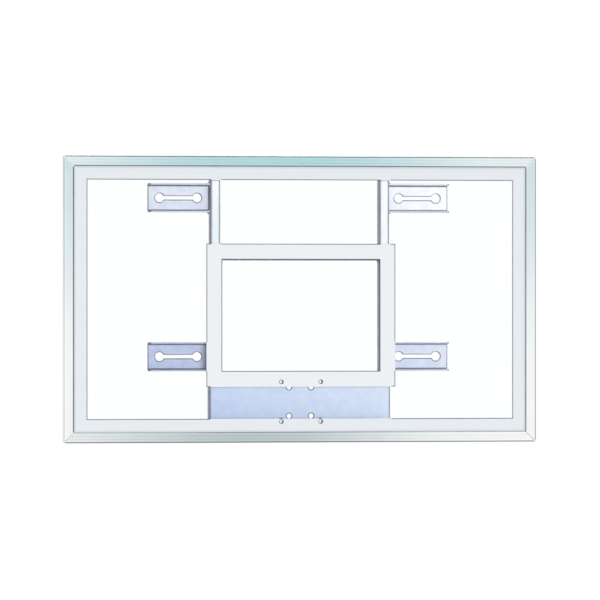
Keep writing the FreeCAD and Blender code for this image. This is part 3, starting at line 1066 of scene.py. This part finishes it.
@dataclass(frozen=True)
class Moulded(Finish):
    """Rubber or nylon with a fine matt skin."""

    base: Colour
    dusty: Colour
    grain_scale: float = 1800.0
    mottle: float = 45.0
    gloss_spread: float = 0.08
    relief: float = 0.2
    relief_depth: float = 0.1 * MM

    def paint(self, graph: Graph, shader: bpy.types.Node) -> None:
        """Lay on the two tones of the skin and its fine grain.

        Args:
            graph: Graph of the material.
            shader: Its shader.
        """
        grain = graph.grain(graph.places(), self.grain_scale, self.mottle)
        skin = graph.mix(grain.outputs["Tone"], self.base, self.dusty)
        graph.feed(shader.inputs["Base Color"], skin)
        self.vary_roughness(graph, shader, grain.outputs["Tone"], self.gloss_spread)
        graph.emboss(shader, grain.outputs["Height"], self.relief, self.relief_depth)


# Painted shade: the steel's flanks take a strong violet shade.
STEEL_COAT = PowderCoat(
    "powder_coat",
    0.42,
    flank=tint(140, 146, 202),
    flank_shade=0.62,
    wear_and_shade_reach=4.2 * MM,
    lip_wear_and_shade_reach=4.2 * MM,
    keenness=8.0,
)
# Painted light: the brackets run deeper low on the left; the front edges take narrower wear and
# painted edge shade.
BRACKET_COAT = PowderCoat(
    "powder_coat_on_brackets",
    0.42,
    tint(150, 170, 210),
    tint(250, 253, 255),
    tint(52, 56, 90),
    flank_shade=0.3,
    wear_and_shade_reach=5.0 * MM,
    lip_wear_and_shade_reach=1.6 * MM,
    keenness=10.0,
    start=0.6,
    per_x=0.32,
    per_z=0.741,
)
# Painted shade: the welds' coat is darker than the frame's, standing in for the shading of their
# ripples.
WELD_COAT = PowderCoat(
    "powder_coat_on_welds",
    0.38,
    tint(112, 120, 152),
    tint(170, 178, 200),
    flank_shade=0.0,
    peel_scale=420.0,
    peel=0.3,
    wear_and_shade_reach=0.8 * MM,
    lip_wear_and_shade_reach=0.8 * MM,
    folds=0.0,
)
ZINC = BareMetal("bright_zinc", 0.34, tint(214, 217, 222), tint(168, 172, 180), 1600.0, 240.0)
MILL = BareMetal("mill_aluminium", 0.4, tint(214, 216, 218), tint(182, 186, 190), 1200.0, 60.0)
RUBBER = Moulded("black_rubber", 0.62, tint(34, 37, 40), tint(58, 62, 66))
NYLON = Moulded("grey_nylon", 0.45, tint(98, 102, 112), tint(118, 122, 132))


# Meshes


@dataclass(frozen=True)
class Solid:
    """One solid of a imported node, as its corner points."""

    points: tuple[Vector, ...]

    @property
    def low(self) -> Vector:
        """Lowest corner of its box."""
        return Vector(min(p[k] for p in self.points) for k in range(3))

    @property
    def high(self) -> Vector:
        """Highest corner of its box."""
        return Vector(max(p[k] for p in self.points) for k in range(3))

    @property
    def middle(self) -> Vector:
        """Middle of its box."""
        return (self.low + self.high) / 2

    @property
    def size(self) -> Vector:
        """Size of its box."""
        return self.high - self.low

    @property
    def order(self) -> tuple[float, float, float]:
        """Place in a row from left to right, upwards and backwards."""
        x, y, z = self.middle
        return (round(x, SORT_DIGITS), round(z, SORT_DIGITS), y)


def solids_of(node: str) -> list[Solid]:
    """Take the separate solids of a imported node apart.

    Args:
        node: Name of the node.

    Returns:
        Its solids, from left to right and upwards.
    """
    mesh = bmesh.new()
    mesh.from_mesh(NODES[node].data)
    bmesh.ops.remove_doubles(mesh, verts=mesh.verts[:], dist=MERGE)
    seen: set[bmesh.types.BMVert] = set()
    found = []
    for start in mesh.verts:
        if start in seen:
            continue
        todo, points = [start], []
        seen.add(start)
        while todo:
            vert = todo.pop()
            points.append(vert.co.copy())
            for other in (edge.other_vert(vert) for edge in vert.link_edges):
                if other not in seen:
                    seen.add(other)
                    todo.append(other)
        found.append(Solid(tuple(points)))
    mesh.free()
    return sorted(found, key=lambda solid: solid.order)


def turned(outline: Sequence[Range], steps: int = 24) -> Mesh:
    """Turn an outline about the depth axis.

    Args:
        outline: Points as (radius, depth).
        steps: Faces round the axis.

    Returns:
        The turned mesh.
    """
    mesh = bmesh.new()
    verts = [mesh.verts.new((radius, depth, 0.0)) for radius, depth in outline]
    edges = [mesh.edges.new(pair) for pair in zip(verts, verts[1:])]
    bmesh.ops.spin(
        mesh,
        geom=verts + edges,
        cent=(0, 0, 0),
        axis=(0, 1, 0),
        dvec=(0, 0, 0),
        angle=FULL_TURN,
        steps=steps,
        use_merge=True,
        use_duplicate=False,
    )
    bmesh.ops.remove_doubles(mesh, verts=mesh.verts[:], dist=MERGE)
    bmesh.ops.dissolve_degenerate(mesh, edges=mesh.edges[:], dist=MERGE)
    return mesh


def turned_ring(section: Sequence[Range], steps: int) -> Mesh:
    """Turn a closed section about the depth axis."""
    return turned([*section, section[0]], steps)


def hexagon_loop(mesh: Mesh, across: float, depth: float) -> Edges:
    """Add a six-sided loop round the depth axis, flats at top and bottom.

    Args:
        mesh: Mesh that takes the loop.
        across: Distance between two flats.
        depth: Place along the depth axis.

    Returns:
        The six edges.
    """
    half_side = Matrix.Rotation(FULL_TURN / HEX_SIDES / 2, 4, "Y")
    upright = Matrix.Rotation(FULL_TURN / 4, 4, "X")
    made = bmesh.ops.create_circle(
        mesh,
        cap_ends=False,
        radius=across / math.sqrt(3),
        segments=HEX_SIDES,
        matrix=Matrix.Translation((0, depth, 0)) @ half_side @ upright,
    )
    return list({edge for vert in made["verts"] for edge in vert.link_edges})


def open_rims(mesh: Mesh) -> Edges:
    """Return the edges round the open ends of a mesh."""
    return [edge for edge in mesh.edges if edge.is_boundary]


def push_loop(mesh: Mesh, loop: Edges, by: Vector) -> Edges:
    """Extrude a closed loop of edges.

    Args:
        mesh: Mesh of the loop.
        loop: Edges of the loop.
        by: Way that the new loop moves.

    Returns:
        Edges of the new loop.
    """
    made = bmesh.ops.extrude_edge_only(mesh, edges=loop)["geom"]
    verts = {item for item in made if isinstance(item, bmesh.types.BMVert)}
    bmesh.ops.translate(mesh, verts=list(verts), vec=by)
    edges = [item for item in made if isinstance(item, bmesh.types.BMEdge)]
    return [edge for edge in edges if set(edge.verts) <= verts]


def ease_edges(mesh: Mesh, edges: Edges, width: float) -> None:
    """Bevel edges with two faces each.

    Args:
        mesh: Mesh of the edges.
        edges: The edges.
        width: Width of the bevel on each side.
    """
    bmesh.ops.bevel(
        mesh,
        geom=edges,
        offset=width,
        offset_type="OFFSET",
        affect="EDGES",
        segments=2,
        profile=0.5,
        material=-1,
        clamp_overlap=True,
    )


def seats(solids: Sequence[Solid], depth: float = 0.0) -> list[Vector]:
    """Find where the copies of a turned mesh go.

    Args:
        solids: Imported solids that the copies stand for.
        depth: Distance of the mesh's origin from the front of its solid.

    Returns:
        The places.
    """
    return [Vector((s.middle.x, s.low.y + depth, s.middle.z)) for s in solids]


def stamped(template: Mesh, places: Sequence[Vector]) -> Mesh:
    """Repeat a mesh at several places.

    Args:
        template: Mesh round the origin, used up by the call.
        places: Where its copies go.

    Returns:
        One mesh with all copies.
    """
    bmesh.ops.recalc_face_normals(template, faces=template.faces[:])
    holder = bpy.data.meshes.new("template")
    template.to_mesh(holder)
    template.free()
    mesh = bmesh.new()
    for place in places:
        first = len(mesh.verts)
        mesh.from_mesh(holder)
        mesh.verts.ensure_lookup_table()
        bmesh.ops.translate(mesh, verts=mesh.verts[first:], vec=place)
    bpy.data.meshes.remove(holder)
    return mesh


def add_piece(
    name: str, mesh: Mesh, finish: Finish, replaced: str
) -> bpy.types.Object:
    """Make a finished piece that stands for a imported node.

    Args:
        name: Name of the piece.
        mesh: Its mesh, used up by the call.
        finish: Its finish.
        replaced: Node that it stands for.

    Returns:
        The piece.
    """
    bmesh.ops.recalc_face_normals(mesh, faces=mesh.faces[:])
    data = bpy.data.meshes.new(name)
    mesh.to_mesh(data)
    mesh.free()
    data.polygons.foreach_set("use_smooth", [True] * len(data.polygons))
    data.set_sharp_from_angle(angle=SHARP_ANGLE)
    data.materials.append(finish.material)
    piece = bpy.data.objects.new(name, data)
    bpy.context.scene.collection.objects.link(piece)
    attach(piece, BODY)
    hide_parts(replaced)
    return piece


def dress(nodes: Sequence[str], finish: Finish) -> list[str]:
    """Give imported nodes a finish.

    Args:
        nodes: Names of the nodes.
        finish: Their finish.

    Returns:
        The names, for the log.
    """
    for node in nodes:
        held = NODES[node]
        if not held.material_slots:
            held.data.materials.append(finish.material)
        for place in held.material_slots:
            place.material = finish.material
    return list(nodes)


# Weld beads


@dataclass(frozen=True)
class RippledBead:
    """Fillet bead whose skin has the overlapping ripples of a welder's passes."""

    pitch: float = 2.1 * MM
    swell: tuple[float, ...] = (0.9, 1.0, 0.97)
    crown: tuple[Range, ...] = ((0.8, 0.27), (0.57, 0.57), (0.27, 0.8))
    start_swell: float = 0.72
    least_passes: int = 2

    def lay(self, mesh: Mesh, solid: Solid) -> None:
        """Lay the bead in the corner that a packed bead fills.

        Args:
            mesh: Mesh that takes the bead.
            solid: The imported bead.
        """
        low, high = solid.low, solid.high
        first, second, run = sorted(range(3), key=lambda k: high[k] - low[k])
        corner, leg_a, leg_b = self.seat(solid, first, second)
        way = Vector()
        way[run] = high[run] - low[run]
        legs = [(0.0, 0.0), (1.0, 0.0), *self.crown, (0.0, 1.0)]
        verts = [mesh.verts.new(corner + leg_a * a + leg_b * b) for a, b in legs]
        loop = [mesh.edges.new(pair) for pair in zip(verts, verts[1:] + verts[:1])]
        self.swell_loop(mesh, loop, corner, self.start_swell)
        bmesh.ops.contextual_create(mesh, geom=loop)
        passes = max(self.least_passes, round(way.length / self.pitch))
        count = passes * len(self.swell)
        size = self.start_swell
        for step in range(1, count + 1):
            wanted = self.start_swell if step == count else self.swell[step % len(self.swell)]
            loop = push_loop(mesh, loop, way / count)
            self.swell_loop(mesh, loop, corner + way * step / count, wanted / size)
            size = wanted
        bmesh.ops.contextual_create(mesh, geom=loop)

    @staticmethod
    def swell_loop(mesh: Mesh, loop: Edges, about: Vector, factor: float) -> None:
        """Scale one loop of the bead about its corner."""
        verts = list({vert for edge in loop for vert in edge.verts})
        bmesh.ops.scale(mesh, vec=(factor,) * 3, space=Matrix.Translation(-about), verts=verts)

    @staticmethod
    def seat(solid: Solid, first: int, second: int) -> tuple[Vector, Vector, Vector]:
        """Find the corner that a packed bead fills.

        Args:
            solid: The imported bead.
            first: One axis of its legs.
            second: The other axis.

        Returns:
            The corner at the start of the run, and the two legs.
        """
        ends = (solid.low, solid.high)
        for a, b in product((0, 1), repeat=2):
            far_a, far_b = ends[a][first], ends[b][second]
            gaps = [(abs(p[first] - far_a), abs(p[second] - far_b)) for p in solid.points]
            if all(max(gap) >= TOUCH for gap in gaps):
                corner = solid.low.copy()
                corner[first], corner[second] = ends[1 - a][first], ends[1 - b][second]
                leg_a, leg_b = Vector(), Vector()
                leg_a[first], leg_b[second] = far_a - corner[first], far_b - corner[second]
                return corner, leg_a, leg_b
        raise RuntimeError("a packed bead has no open corner")


def welded(name: str, node: str) -> bpy.types.Object:
    """Replace the plain beads of a node by rippled ones.

    Args:
        name: Name of the piece.
        node: Node of the plain beads.

    Returns:
        The piece.
    """
    mesh, bead = bmesh.new(), RippledBead()
    for solid in solids_of(node):
        bead.lay(mesh, solid)
    return add_piece(name, mesh, WELD_COAT, node)


# Sub-assemblies


@dataclass
class GlazedPanel:
    """Glass sheet with its white markings, hole linings and edge strips."""

    lip_reach: float = 31.75 * MM
    border_reach: float = 76.2 * MM
    target_line: float = 50.8 * MM
    line_width: float = 3.0 * MM
    line_tone: Colour = tint(92, 96, 106)
    border_tones: tuple[Colour, Colour] = (tint(225, 230, 233), tint(224, 229, 232))
    target_tones: tuple[Colour, Colour] = (tint(231, 235, 236), tint(230, 234, 235))
    enamel_gloss: float = 0.3
    lip_round: float = 0.4 * MM
    soft_share: float = 0.3
    blunt_share: float = 0.4
    bore: float = 5.15 * MM
    sleeve: float = 6.35 * MM
    flange: float = 1.6 * MM
    fit: float = 0.15 * MM
    steps: int = 40

    def bores(self) -> tuple[Bore, ...]:
        """Return the drilled holes of the markings, those on the right for each pair."""
        right = [solid.middle for solid in solids_of("glass_grommets") if solid.middle.x > 0]
        return tuple(Bore(middle.x, middle.z, self.sleeve + self.fit) for middle in right)

    def steel_behind(self) -> tuple[Rectangle, ...]:
        """Return the outlines of the steel that stands behind the glass."""
        names = ("right_upright", "goal_plate", "bracket_upper_right", "bracket_lower_right")
        return tuple(Rectangle.of_node(name) for name in names)

    def build(self) -> list[bpy.types.Object]:
        """Build the hole linings with rounded lips.

        Returns:
            The new piece.
        """
        solids = solids_of("glass_grommets")
        rim, length, ease = solids[0].size.x / 2, solids[0].size.y, self.lip_round
        neck, soft, blunt = length - self.flange, self.soft_share * ease, self.blunt_share * ease
        section = [
            (self.bore, ease),
            (self.bore + soft, soft),
            (self.bore + ease, 0.0),
            (self.sleeve - ease, 0.0),
            (self.sleeve - soft, soft),
            (self.sleeve, ease),
            (self.sleeve, neck),
            (rim - ease, neck),
            (rim, neck + blunt),
            (rim, length - blunt),
            (rim - ease, length),
            (self.bore + ease, length),
            (self.bore, length - ease),
        ]
        mesh = stamped(turned_ring(section, self.steps), seats(solids))
        return [add_piece("hole_linings", mesh, NYLON, "glass_grommets")]

    def enamel(
        self,
        name: str,
        tones: tuple[Colour, Colour],
        lined: tuple[Rectangle, ...],
        rim: Rectangle | None = None,
    ) -> FiredEnamel:
        """Choose the finish of one marking.

        Args:
            name: Name of the finish.
            tones: White and its shade.
            lined: Rectangles along which it has a thin line.
            rim: Edge of the frame whose shadow is painted on it.

        Returns:
            The finish.
        """
        return FiredEnamel(
            name,
            self.enamel_gloss,
            *tones,
            line=self.line_tone,
            line_width=self.line_width,
            lined=lined,
            backed=self.steel_behind(),
            bores=self.bores(),
            rim=rim,
        )

    def dress(self) -> list[str]:
        """Finish the glass, the markings and the edge strips.

        Returns:
            Names of the nodes.
        """
        board, target = Rectangle.of_board(), Rectangle.of_node("target_marking")
        clear, lip = board.inset(self.border_reach), board.inset(self.lip_reach)
        lines = (target, target.inset(self.target_line))
        glass = ClearGlass("clear_glass", 0.0, Rectangle.of_node("glass_panel"))
        # The border takes a painted shadow beside the frame's lip.
        border_white = self.enamel("border_enamel", self.border_tones, (clear,), lip)
        target_white = self.enamel("target_enamel", self.target_tones, lines)
        strips = [f"gasket_{side}" for side in ("left", "right", "top", "bottom")]
        return [
            *dress(["glass_panel"], glass),
            *dress(["border_marking"], border_white),
            *dress(["target_marking"], target_white),
            *dress(strips, RUBBER),
        ]


@dataclass
class EdgeFrame:
    """Aluminium edge frame with its corner keys and screws."""

    shank: float = 2.4 * MM
    point: float = 2.5 * MM
    socket_across: float = 4.0 * MM
    socket_depth: float = 1.7 * MM
    dome: tuple[Range, ...] = (
        (1.0, 0.0),
        (1.0, 0.3),
        (0.95, 0.56),
        (0.84, 0.8),
        (0.7, 0.95),
        (0.6, 1.0),
    )
    steps: int = 30
    satin: float = 0.36
    # Painted shade: the rims darken differently on each side, as the light falls.
    across_rims: Range = (0.85, 0.6)
    left_rims: Range = (0.3, 0.95)
    right_rims: Range = (0.75, 0.3)
    # Painted reflection: tones at the top of the rails.
    across_head: Colour = tint(236, 245, 246)
    upright_head: Colour = tint(218, 234, 237)

    def build(self) -> list[bpy.types.Object]:
        """Build the domed screws with hexagon sockets.

        Returns:
            The new piece.
        """
        solids = solids_of("frame_screws")
        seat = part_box("goal_plate")[0].y
        low, high = solids[0].low, solids[0].high
        radius, height, tip = solids[0].size.x / 2, high.y - seat, low.y - seat
        outline = [(0.0, tip), (self.shank, tip + self.point), (self.shank, 0.0)]
        outline += [(share * radius, rise * height) for share, rise in self.dome]
        mesh = turned(outline, self.steps)
        rim = open_rims(mesh)
        mouth = hexagon_loop(mesh, self.socket_across, height)
        bmesh.ops.bridge_loops(mesh, edges=rim + mouth)
        floor = push_loop(mesh, mouth, Vector((0, -self.socket_depth, 0)))
        bmesh.ops.contextual_create(mesh, geom=floor)
        places = [Vector((s.middle.x, seat, s.middle.z)) for s in solids]
        return [add_piece("socket_screws", stamped(mesh, places), ZINC, "frame_screws")]

    def rail_finish(self, hand: str, run: RailRun, rims: Range, head: Colour) -> SatinAluminium:
        """Choose the finish of one kind of rail, with its outer and inner rims of painted shade."""
        return SatinAluminium(f"satin_aluminium_{hand}", self.satin, run, *rims, head)

    def dress(self) -> list[str]:
        """Finish the rails, the corner keys and the splice bar.

        Returns:
            Names of the nodes.
        """
        across = self.rail_finish("across", RailRun.ACROSS, self.across_rims, self.across_head)
        left = self.rail_finish("left", RailRun.UPRIGHT, self.left_rims, self.upright_head)
        right = self.rail_finish("right", RailRun.UPRIGHT, self.right_rims, self.upright_head)
        corners = product(("top", "bottom"), ("left", "right"))
        keys = [f"corner_key_{end}_{hand}" for end, hand in corners]
        return [
            *dress(["frame_bottom_rail", "frame_top_left_rail", "frame_top_right_rail"], across),
            *dress(["frame_left_rail"], left),
            *dress(["frame_right_rail"], right),
            *dress([*keys, "top_splice_plate"], MILL),
        ]


@dataclass
class SteelFrame:
    """Welded steel frame behind the glass, with the pan that carries the goal."""

    ease: float = 0.8 * MM
    bore: float = 6.0 * MM
    steps: int = 40
    pocket_reach: float = 12.0 * MM
    flange: float = 4.76 * MM
    access_x: float = 35.7 * MM
    access_z: float = 46.05 * MM
    access_radius: float = 7.95 * MM
    goal_radius: float = 5.15 * MM

    def build(self) -> list[bpy.types.Object]:
        """Build the rippled welds and the turned spacer tubes."""
        beads = [welded("frame_beads", "frame_welds"), welded("pan_beads", "pan_welds")]
        return [*beads, self.spacers()]

    def spacers(self) -> bpy.types.Object:
        """Build the spacer tubes with eased ends.

        Returns:
            The new piece.
        """
        solids = solids_of("goal_spacers")
        radius, length, ease = solids[0].size.x / 2, solids[0].size.y, self.ease
        section = [
            (self.bore, ease),
            (self.bore + ease, 0.0),
            (radius - ease, 0.0),
            (radius, ease),
            (radius, length - ease),
            (radius - ease, length),
            (self.bore + ease, length),
            (self.bore, length - ease),
        ]
        mesh = stamped(turned_ring(section, self.steps), seats(solids))
        return add_piece("spacer_tubes", mesh, ZINC, "goal_spacers")

    def pockets(self) -> tuple[Rectangle, ...]:
        """Measure where the brackets close in the outer faces of the uprights.

        Returns:
            A pair of places for each row of brackets.
        """
        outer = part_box("right_upright")[1].x
        rows = [Rectangle.of_node(f"bracket_{row}_right") for row in ("upper", "lower")]
        heights = [(row.centre_z, row.half_z - self.flange) for row in rows]
        return tuple(Rectangle(outer, z, self.pocket_reach, half_z) for z, half_z in heights)

    def bores(self) -> tuple[Bore, ...]:
        """Measure the goal holes and access holes of the pan.

        Returns:
            The holes on the right, each of them for a pair.
        """
        goal = [solid.middle for solid in solids_of("goal_spacers") if solid.middle.x > 0]
        centre = sum(middle.z for middle in goal) / len(goal)
        rises = (-self.access_z, self.access_z)
        access = [Bore(self.access_x, centre + rise, self.access_radius) for rise in rises]
        return (*(Bore(middle.x, middle.z, self.goal_radius) for middle in goal), *access)

    def dress(self) -> list[str]:
        """Finish the tubes, the pan's plates and the tabs.

        Returns:
            Names of the nodes.
        """
        pan = ["pan_top_flange", "pan_bottom_flange", "pan_left_end", "pan_right_end"]
        plate = replace(STEEL_COAT, name="powder_coat_on_goal_plate", bores=self.bores())
        uprights = replace(STEEL_COAT, name="powder_coat_on_uprights", pockets=self.pockets())
        return [
            *dress(["goal_plate"], plate),
            *dress([*pan, "left_top_tab", "right_top_tab", "crossbar"], STEEL_COAT),
            *dress(["left_upright", "right_upright"], uprights),
        ]


@dataclass
class MastBrackets:
    """Four slotted brackets on the outer faces of the uprights."""

    rows: tuple[str, ...] = ("upper", "lower")
    hands: tuple[str, ...] = ("left", "right")

    def build(self) -> list[bpy.types.Object]:
        """Build the rippled beads that hold the brackets."""
        return [welded("bracket_beads", "bracket_welds")]

    def dress(self) -> list[str]:
        """Finish the brackets."""
        names = [f"bracket_{row}_{hand}" for row in self.rows for hand in self.hands]
        return dress(names, BRACKET_COAT)


@dataclass
class FrameFasteners:
    """Bolts, washers and nuts between the steel frame and the edge frame."""

    head: float = 5.0 * MM
    shank: float = 4.0 * MM
    thread_pitch: float = 1.25 * MM
    thread_depth: float = 0.6 * MM
    thread_root: float = 0.45
    thread_crest: float = 0.9
    threaded: float = 14.0 * MM
    point: float = 0.1 * MM
    ease: float = 0.7 * MM
    washer_ease: float = 0.3 * MM
    washer_bore: float = 4.4 * MM
    washer_steps: int = 32
    nut_bore: float = 4.1 * MM

    def build(self) -> list[bpy.types.Object]:
        """Build the bolts, washers and nuts."""
        return [self.bolts(), self.washers(), self.nuts()]

    def bolts(self) -> bpy.types.Object:
        """Build hexagon bolts with a cut thread.

        Returns:
            The new piece.
        """
        solids = solids_of("frame_bolts")
        across, length = solids[0].size.z, solids[0].size.y - self.head
        crest, root, pitch = self.shank, self.shank - self.thread_depth, self.thread_pitch
        outline = [(crest, 0.0), (crest, length - self.threaded)]
        for turn in range(int(self.threaded / pitch) - 1):
            depth = length - self.threaded + turn * pitch
            outline += [(root, depth + self.thread_root * pitch)]
            outline += [(crest, depth + self.thread_crest * pitch), (crest, depth + pitch)]
        outline += [(root, length - self.point), (0.0, length)]
        mesh = turned(outline)
        rim = open_rims(mesh)
        seat = hexagon_loop(mesh, across, 0.0)
        bmesh.ops.bridge_loops(mesh, edges=rim + seat)
        top = push_loop(mesh, seat, Vector((0, -self.head, 0)))
        bmesh.ops.contextual_create(mesh, geom=top)
        ease_edges(mesh, top, self.ease)
        mesh = stamped(mesh, seats(solids, self.head))
        return add_piece("hexagon_bolts", mesh, ZINC, "frame_bolts")

    def washers(self) -> bpy.types.Object:
        """Build plain washers with eased rims.

        Returns:
            The new piece.
        """
        solids = solids_of("frame_washers")
        radius, thick, ease = solids[0].size.x / 2, solids[0].size.y, self.washer_ease
        section = [
            (self.washer_bore, 0.0),
            (radius - ease, 0.0),
            (radius, ease),
            (radius, thick - ease),
            (radius - ease, thick),
            (self.washer_bore + ease, thick),
            (self.washer_bore, thick - ease),
        ]
        mesh = stamped(turned_ring(section, self.washer_steps), seats(solids))
        return add_piece("plain_washers", mesh, ZINC, "frame_washers")

    def nuts(self) -> bpy.types.Object:
        """Build hexagon nuts with eased faces and countersunk bores.

        Returns:
            The new piece.
        """
        solids = solids_of("frame_nuts")
        across, thick, ease = solids[0].size.z, solids[0].size.y, self.ease
        bore, mouth = self.nut_bore, self.nut_bore + ease
        mesh = turned([(mouth, 0.0), (bore, ease), (bore, thick - ease), (mouth, thick)])
        rims = open_rims(mesh)
        loops = []
        for depth in (0.0, thick):
            rim = [edge for edge in rims if abs(edge.verts[0].co.y - depth) < MERGE]
            loop = hexagon_loop(mesh, across, depth)
            bmesh.ops.bridge_loops(mesh, edges=rim + loop)
            loops += loop
        bmesh.ops.bridge_loops(mesh, edges=loops)
        ease_edges(mesh, loops, ease)
        mesh = stamped(mesh, seats(solids))
        return add_piece("hexagon_nuts", mesh, ZINC, "frame_nuts")

    def dress(self) -> list[str]:
        """Nothing is left to finish: every fastener is a new piece."""
        return []


# Studio

BOUNCE_LIMIT = 0.5
SIDE_TO_SIDE = (-1.0, 1.0)


def seen_directly(graph: Graph) -> Socket:
    """Tell rays that show a thing, also mirrored or through glass, from rays that carry light.

    Args:
        graph: Graph that takes the nodes.

    Returns:
        The socket with 1 for a ray that shows the thing.
    """
    path = graph.node("ShaderNodeLightPath")
    seen = path.outputs["Is Camera Ray"]
    for kind in ("Is Glossy Ray", "Is Transmission Ray"):
        seen = graph.math("MAXIMUM", seen, path.outputs[kind])
    direct = graph.math("LESS_THAN", path.outputs["Diffuse Depth"], BOUNCE_LIMIT)
    return graph.math("MULTIPLY", seen, direct)


@dataclass(frozen=True)
class PaleFloor(Finish):
    """Pale floor that runs out into white."""

    pale: Colour = tint(244, 245, 247)
    cloud_share: float = 0.98
    solid_to: float = 0.7
    white_from: float = 1.4
    grain_scale: float = 300.0
    mottle: float = 4.0

    def paint(self, graph: Graph, shader: bpy.types.Node) -> None:
        """Lay on the pale tone, and white towards the rim.

        Args:
            graph: Graph of the material.
            shader: Its shader.
        """
        places = graph.places()
        x, y, _ = graph.axes(places)
        rim = graph.span(graph.length(x, y), self.solid_to, self.white_from)
        grain = graph.grain(places, self.grain_scale, self.mottle)
        soft = tuple(channel * self.cloud_share for channel in self.pale[:3]) + (1.0,)
        graph.feed(shader.inputs["Base Color"], graph.mix(grain.outputs["Tone"], soft, self.pale))
        white = graph.math("MULTIPLY", rim, seen_directly(graph))
        graph.swap_shader(white, shader, graph.node("ShaderNodeEmission"))


@dataclass(frozen=True)
class Lamp:
    """A distant lamp, by the way from the object towards it."""

    name: str
    towards: tuple[float, float, float]
    strength: float
    angle: float
    mirrored: bool

    def hang(self) -> None:
        """Add the lamp to the scene; shadow rays already bring it through the glass."""
        data = bpy.data.lights.new(self.name, "SUN")
        data.energy, data.angle = self.strength, math.radians(self.angle)
        lamp = bpy.data.objects.new(self.name, data)
        lamp.visible_transmission = False
        lamp.visible_glossy = self.mirrored
        lamp.rotation_mode = "QUATERNION"
        lamp.rotation_quaternion = Vector(self.towards).to_track_quat("Z", "Y")
        bpy.context.scene.collection.objects.link(lamp)


@dataclass
class Studio:
    """Floor, white surroundings, lamps and camera."""

    floor_drop: float = 0.62
    floor_radius: float = 1.5
    floor_segments: int = 96
    floor_matt: float = 0.8
    ambient: float = 0.3
    cool: Colour = (0.72, 0.74, 1.2, 1.0)
    warm: Colour = (1.05, 1.04, 0.97, 1.0)
    fill_left: float = 0.15
    fill_right: float = 1.85
    fill_turn: Range = (-0.6, 0.4)
    backdrop: Colour = (1.0, 1.0, 1.0, 1.0)
    lamps: tuple[Lamp, ...] = (
        Lamp("key_lamp", (0.03, -1.0, 0.03), 2.35, 20.0, False),
        Lamp("rear_lamp", (0.25, 0.85, 0.45), 2.0, 24.0, True),
        Lamp("top_lamp", (0.1, 0.0, 1.0), 1.3, 20.0, False),
    )
    camera_distance: float = 16.0
    camera_yaw: float = 8.0
    aim_right: float = -4.3 * MM
    aim_up: float = -2.0 * MM
    seen_width: float = 1.9175
    sensor: float = 36.0
    clip_share: float = 4.0

    def build(self) -> None:
        """Set the whole studio up."""
        bpy.context.scene.view_settings.view_transform = "Standard"
        self.lay_floor()
        self.light_world()
        for lamp in self.lamps:
            lamp.hang()
        self.set_camera()

    def lay_floor(self) -> None:
        """Lay a round floor below the board."""
        mesh = bmesh.new()
        bmesh.ops.create_circle(
            mesh, cap_ends=True, radius=self.floor_radius, segments=self.floor_segments
        )
        bmesh.ops.translate(mesh, verts=mesh.verts[:], vec=(0, 0, CAD_BOX[0].z - self.floor_drop))
        data = bpy.data.meshes.new("floor")
        mesh.to_mesh(data)
        mesh.free()
        data.materials.append(PaleFloor("pale_floor", self.floor_matt).material)
        floor = bpy.data.objects.new("floor", data)
        bpy.context.scene.collection.objects.link(floor)
        floor.visible_diffuse = False

    def light_world(self) -> None:
        """Make the surroundings white to look at and softer as a light."""
        world = bpy.data.worlds.new("white_studio")
        bpy.context.scene.world = world
        world.use_nodes = True
        graph = Graph(world.node_tree)
        seen = seen_directly(graph)
        x, _, _ = graph.axes(graph.node("ShaderNodeTexCoord").outputs["Generated"])
        ends = (self.fill_left * self.ambient, self.fill_right * self.ambient)
        soft = graph.span(x, *SIDE_TO_SIDE, *ends)
        fill = graph.mix(graph.span(x, *self.fill_turn), self.cool, self.warm)
        sky = world.node_tree.nodes["Background"]
        graph.feed(sky.inputs["Color"], graph.mix(seen, fill, self.backdrop))
        graph.feed(sky.inputs["Strength"], graph.math("MAXIMUM", seen, soft))

    def set_camera(self) -> None:
        """Stand the camera left of the middle, far off and level with the board."""
        low, high = CAD_BOX
        aim = Vector((self.aim_right, low.y, (low.z + high.z) / 2 + self.aim_up))
        yaw = math.radians(self.camera_yaw)
        back = Vector((-math.sin(yaw), -math.cos(yaw), 0.0))
        data = bpy.data.cameras.new("camera")
        data.sensor_width = self.sensor
        data.lens = self.sensor * self.camera_distance / self.seen_width
        data.clip_end = self.clip_share * self.camera_distance
        camera = bpy.data.objects.new("camera", data)
        camera.location = aim + back * self.camera_distance
        camera.rotation_mode = "QUATERNION"
        camera.rotation_quaternion = (-back).to_track_quat("-Z", "Y")
        bpy.context.scene.collection.objects.link(camera)
        bpy.context.scene.camera = camera


def main() -> None:
    """Build and dress the sub-assemblies, then the studio."""
    logging.basicConfig(level=logging.INFO, format="%(name)s: %(message)s")
    for assembly in (GlazedPanel(), EdgeFrame(), SteelFrame(), MastBrackets(), FrameFasteners()):
        for piece in assembly.build():
            log.info("built %s with %d faces", piece.name, len(piece.data.polygons))
        for node in assembly.dress():
            log.info("dressed %s", node)
    Studio().build()


if __name__ == "__main__":
    main()
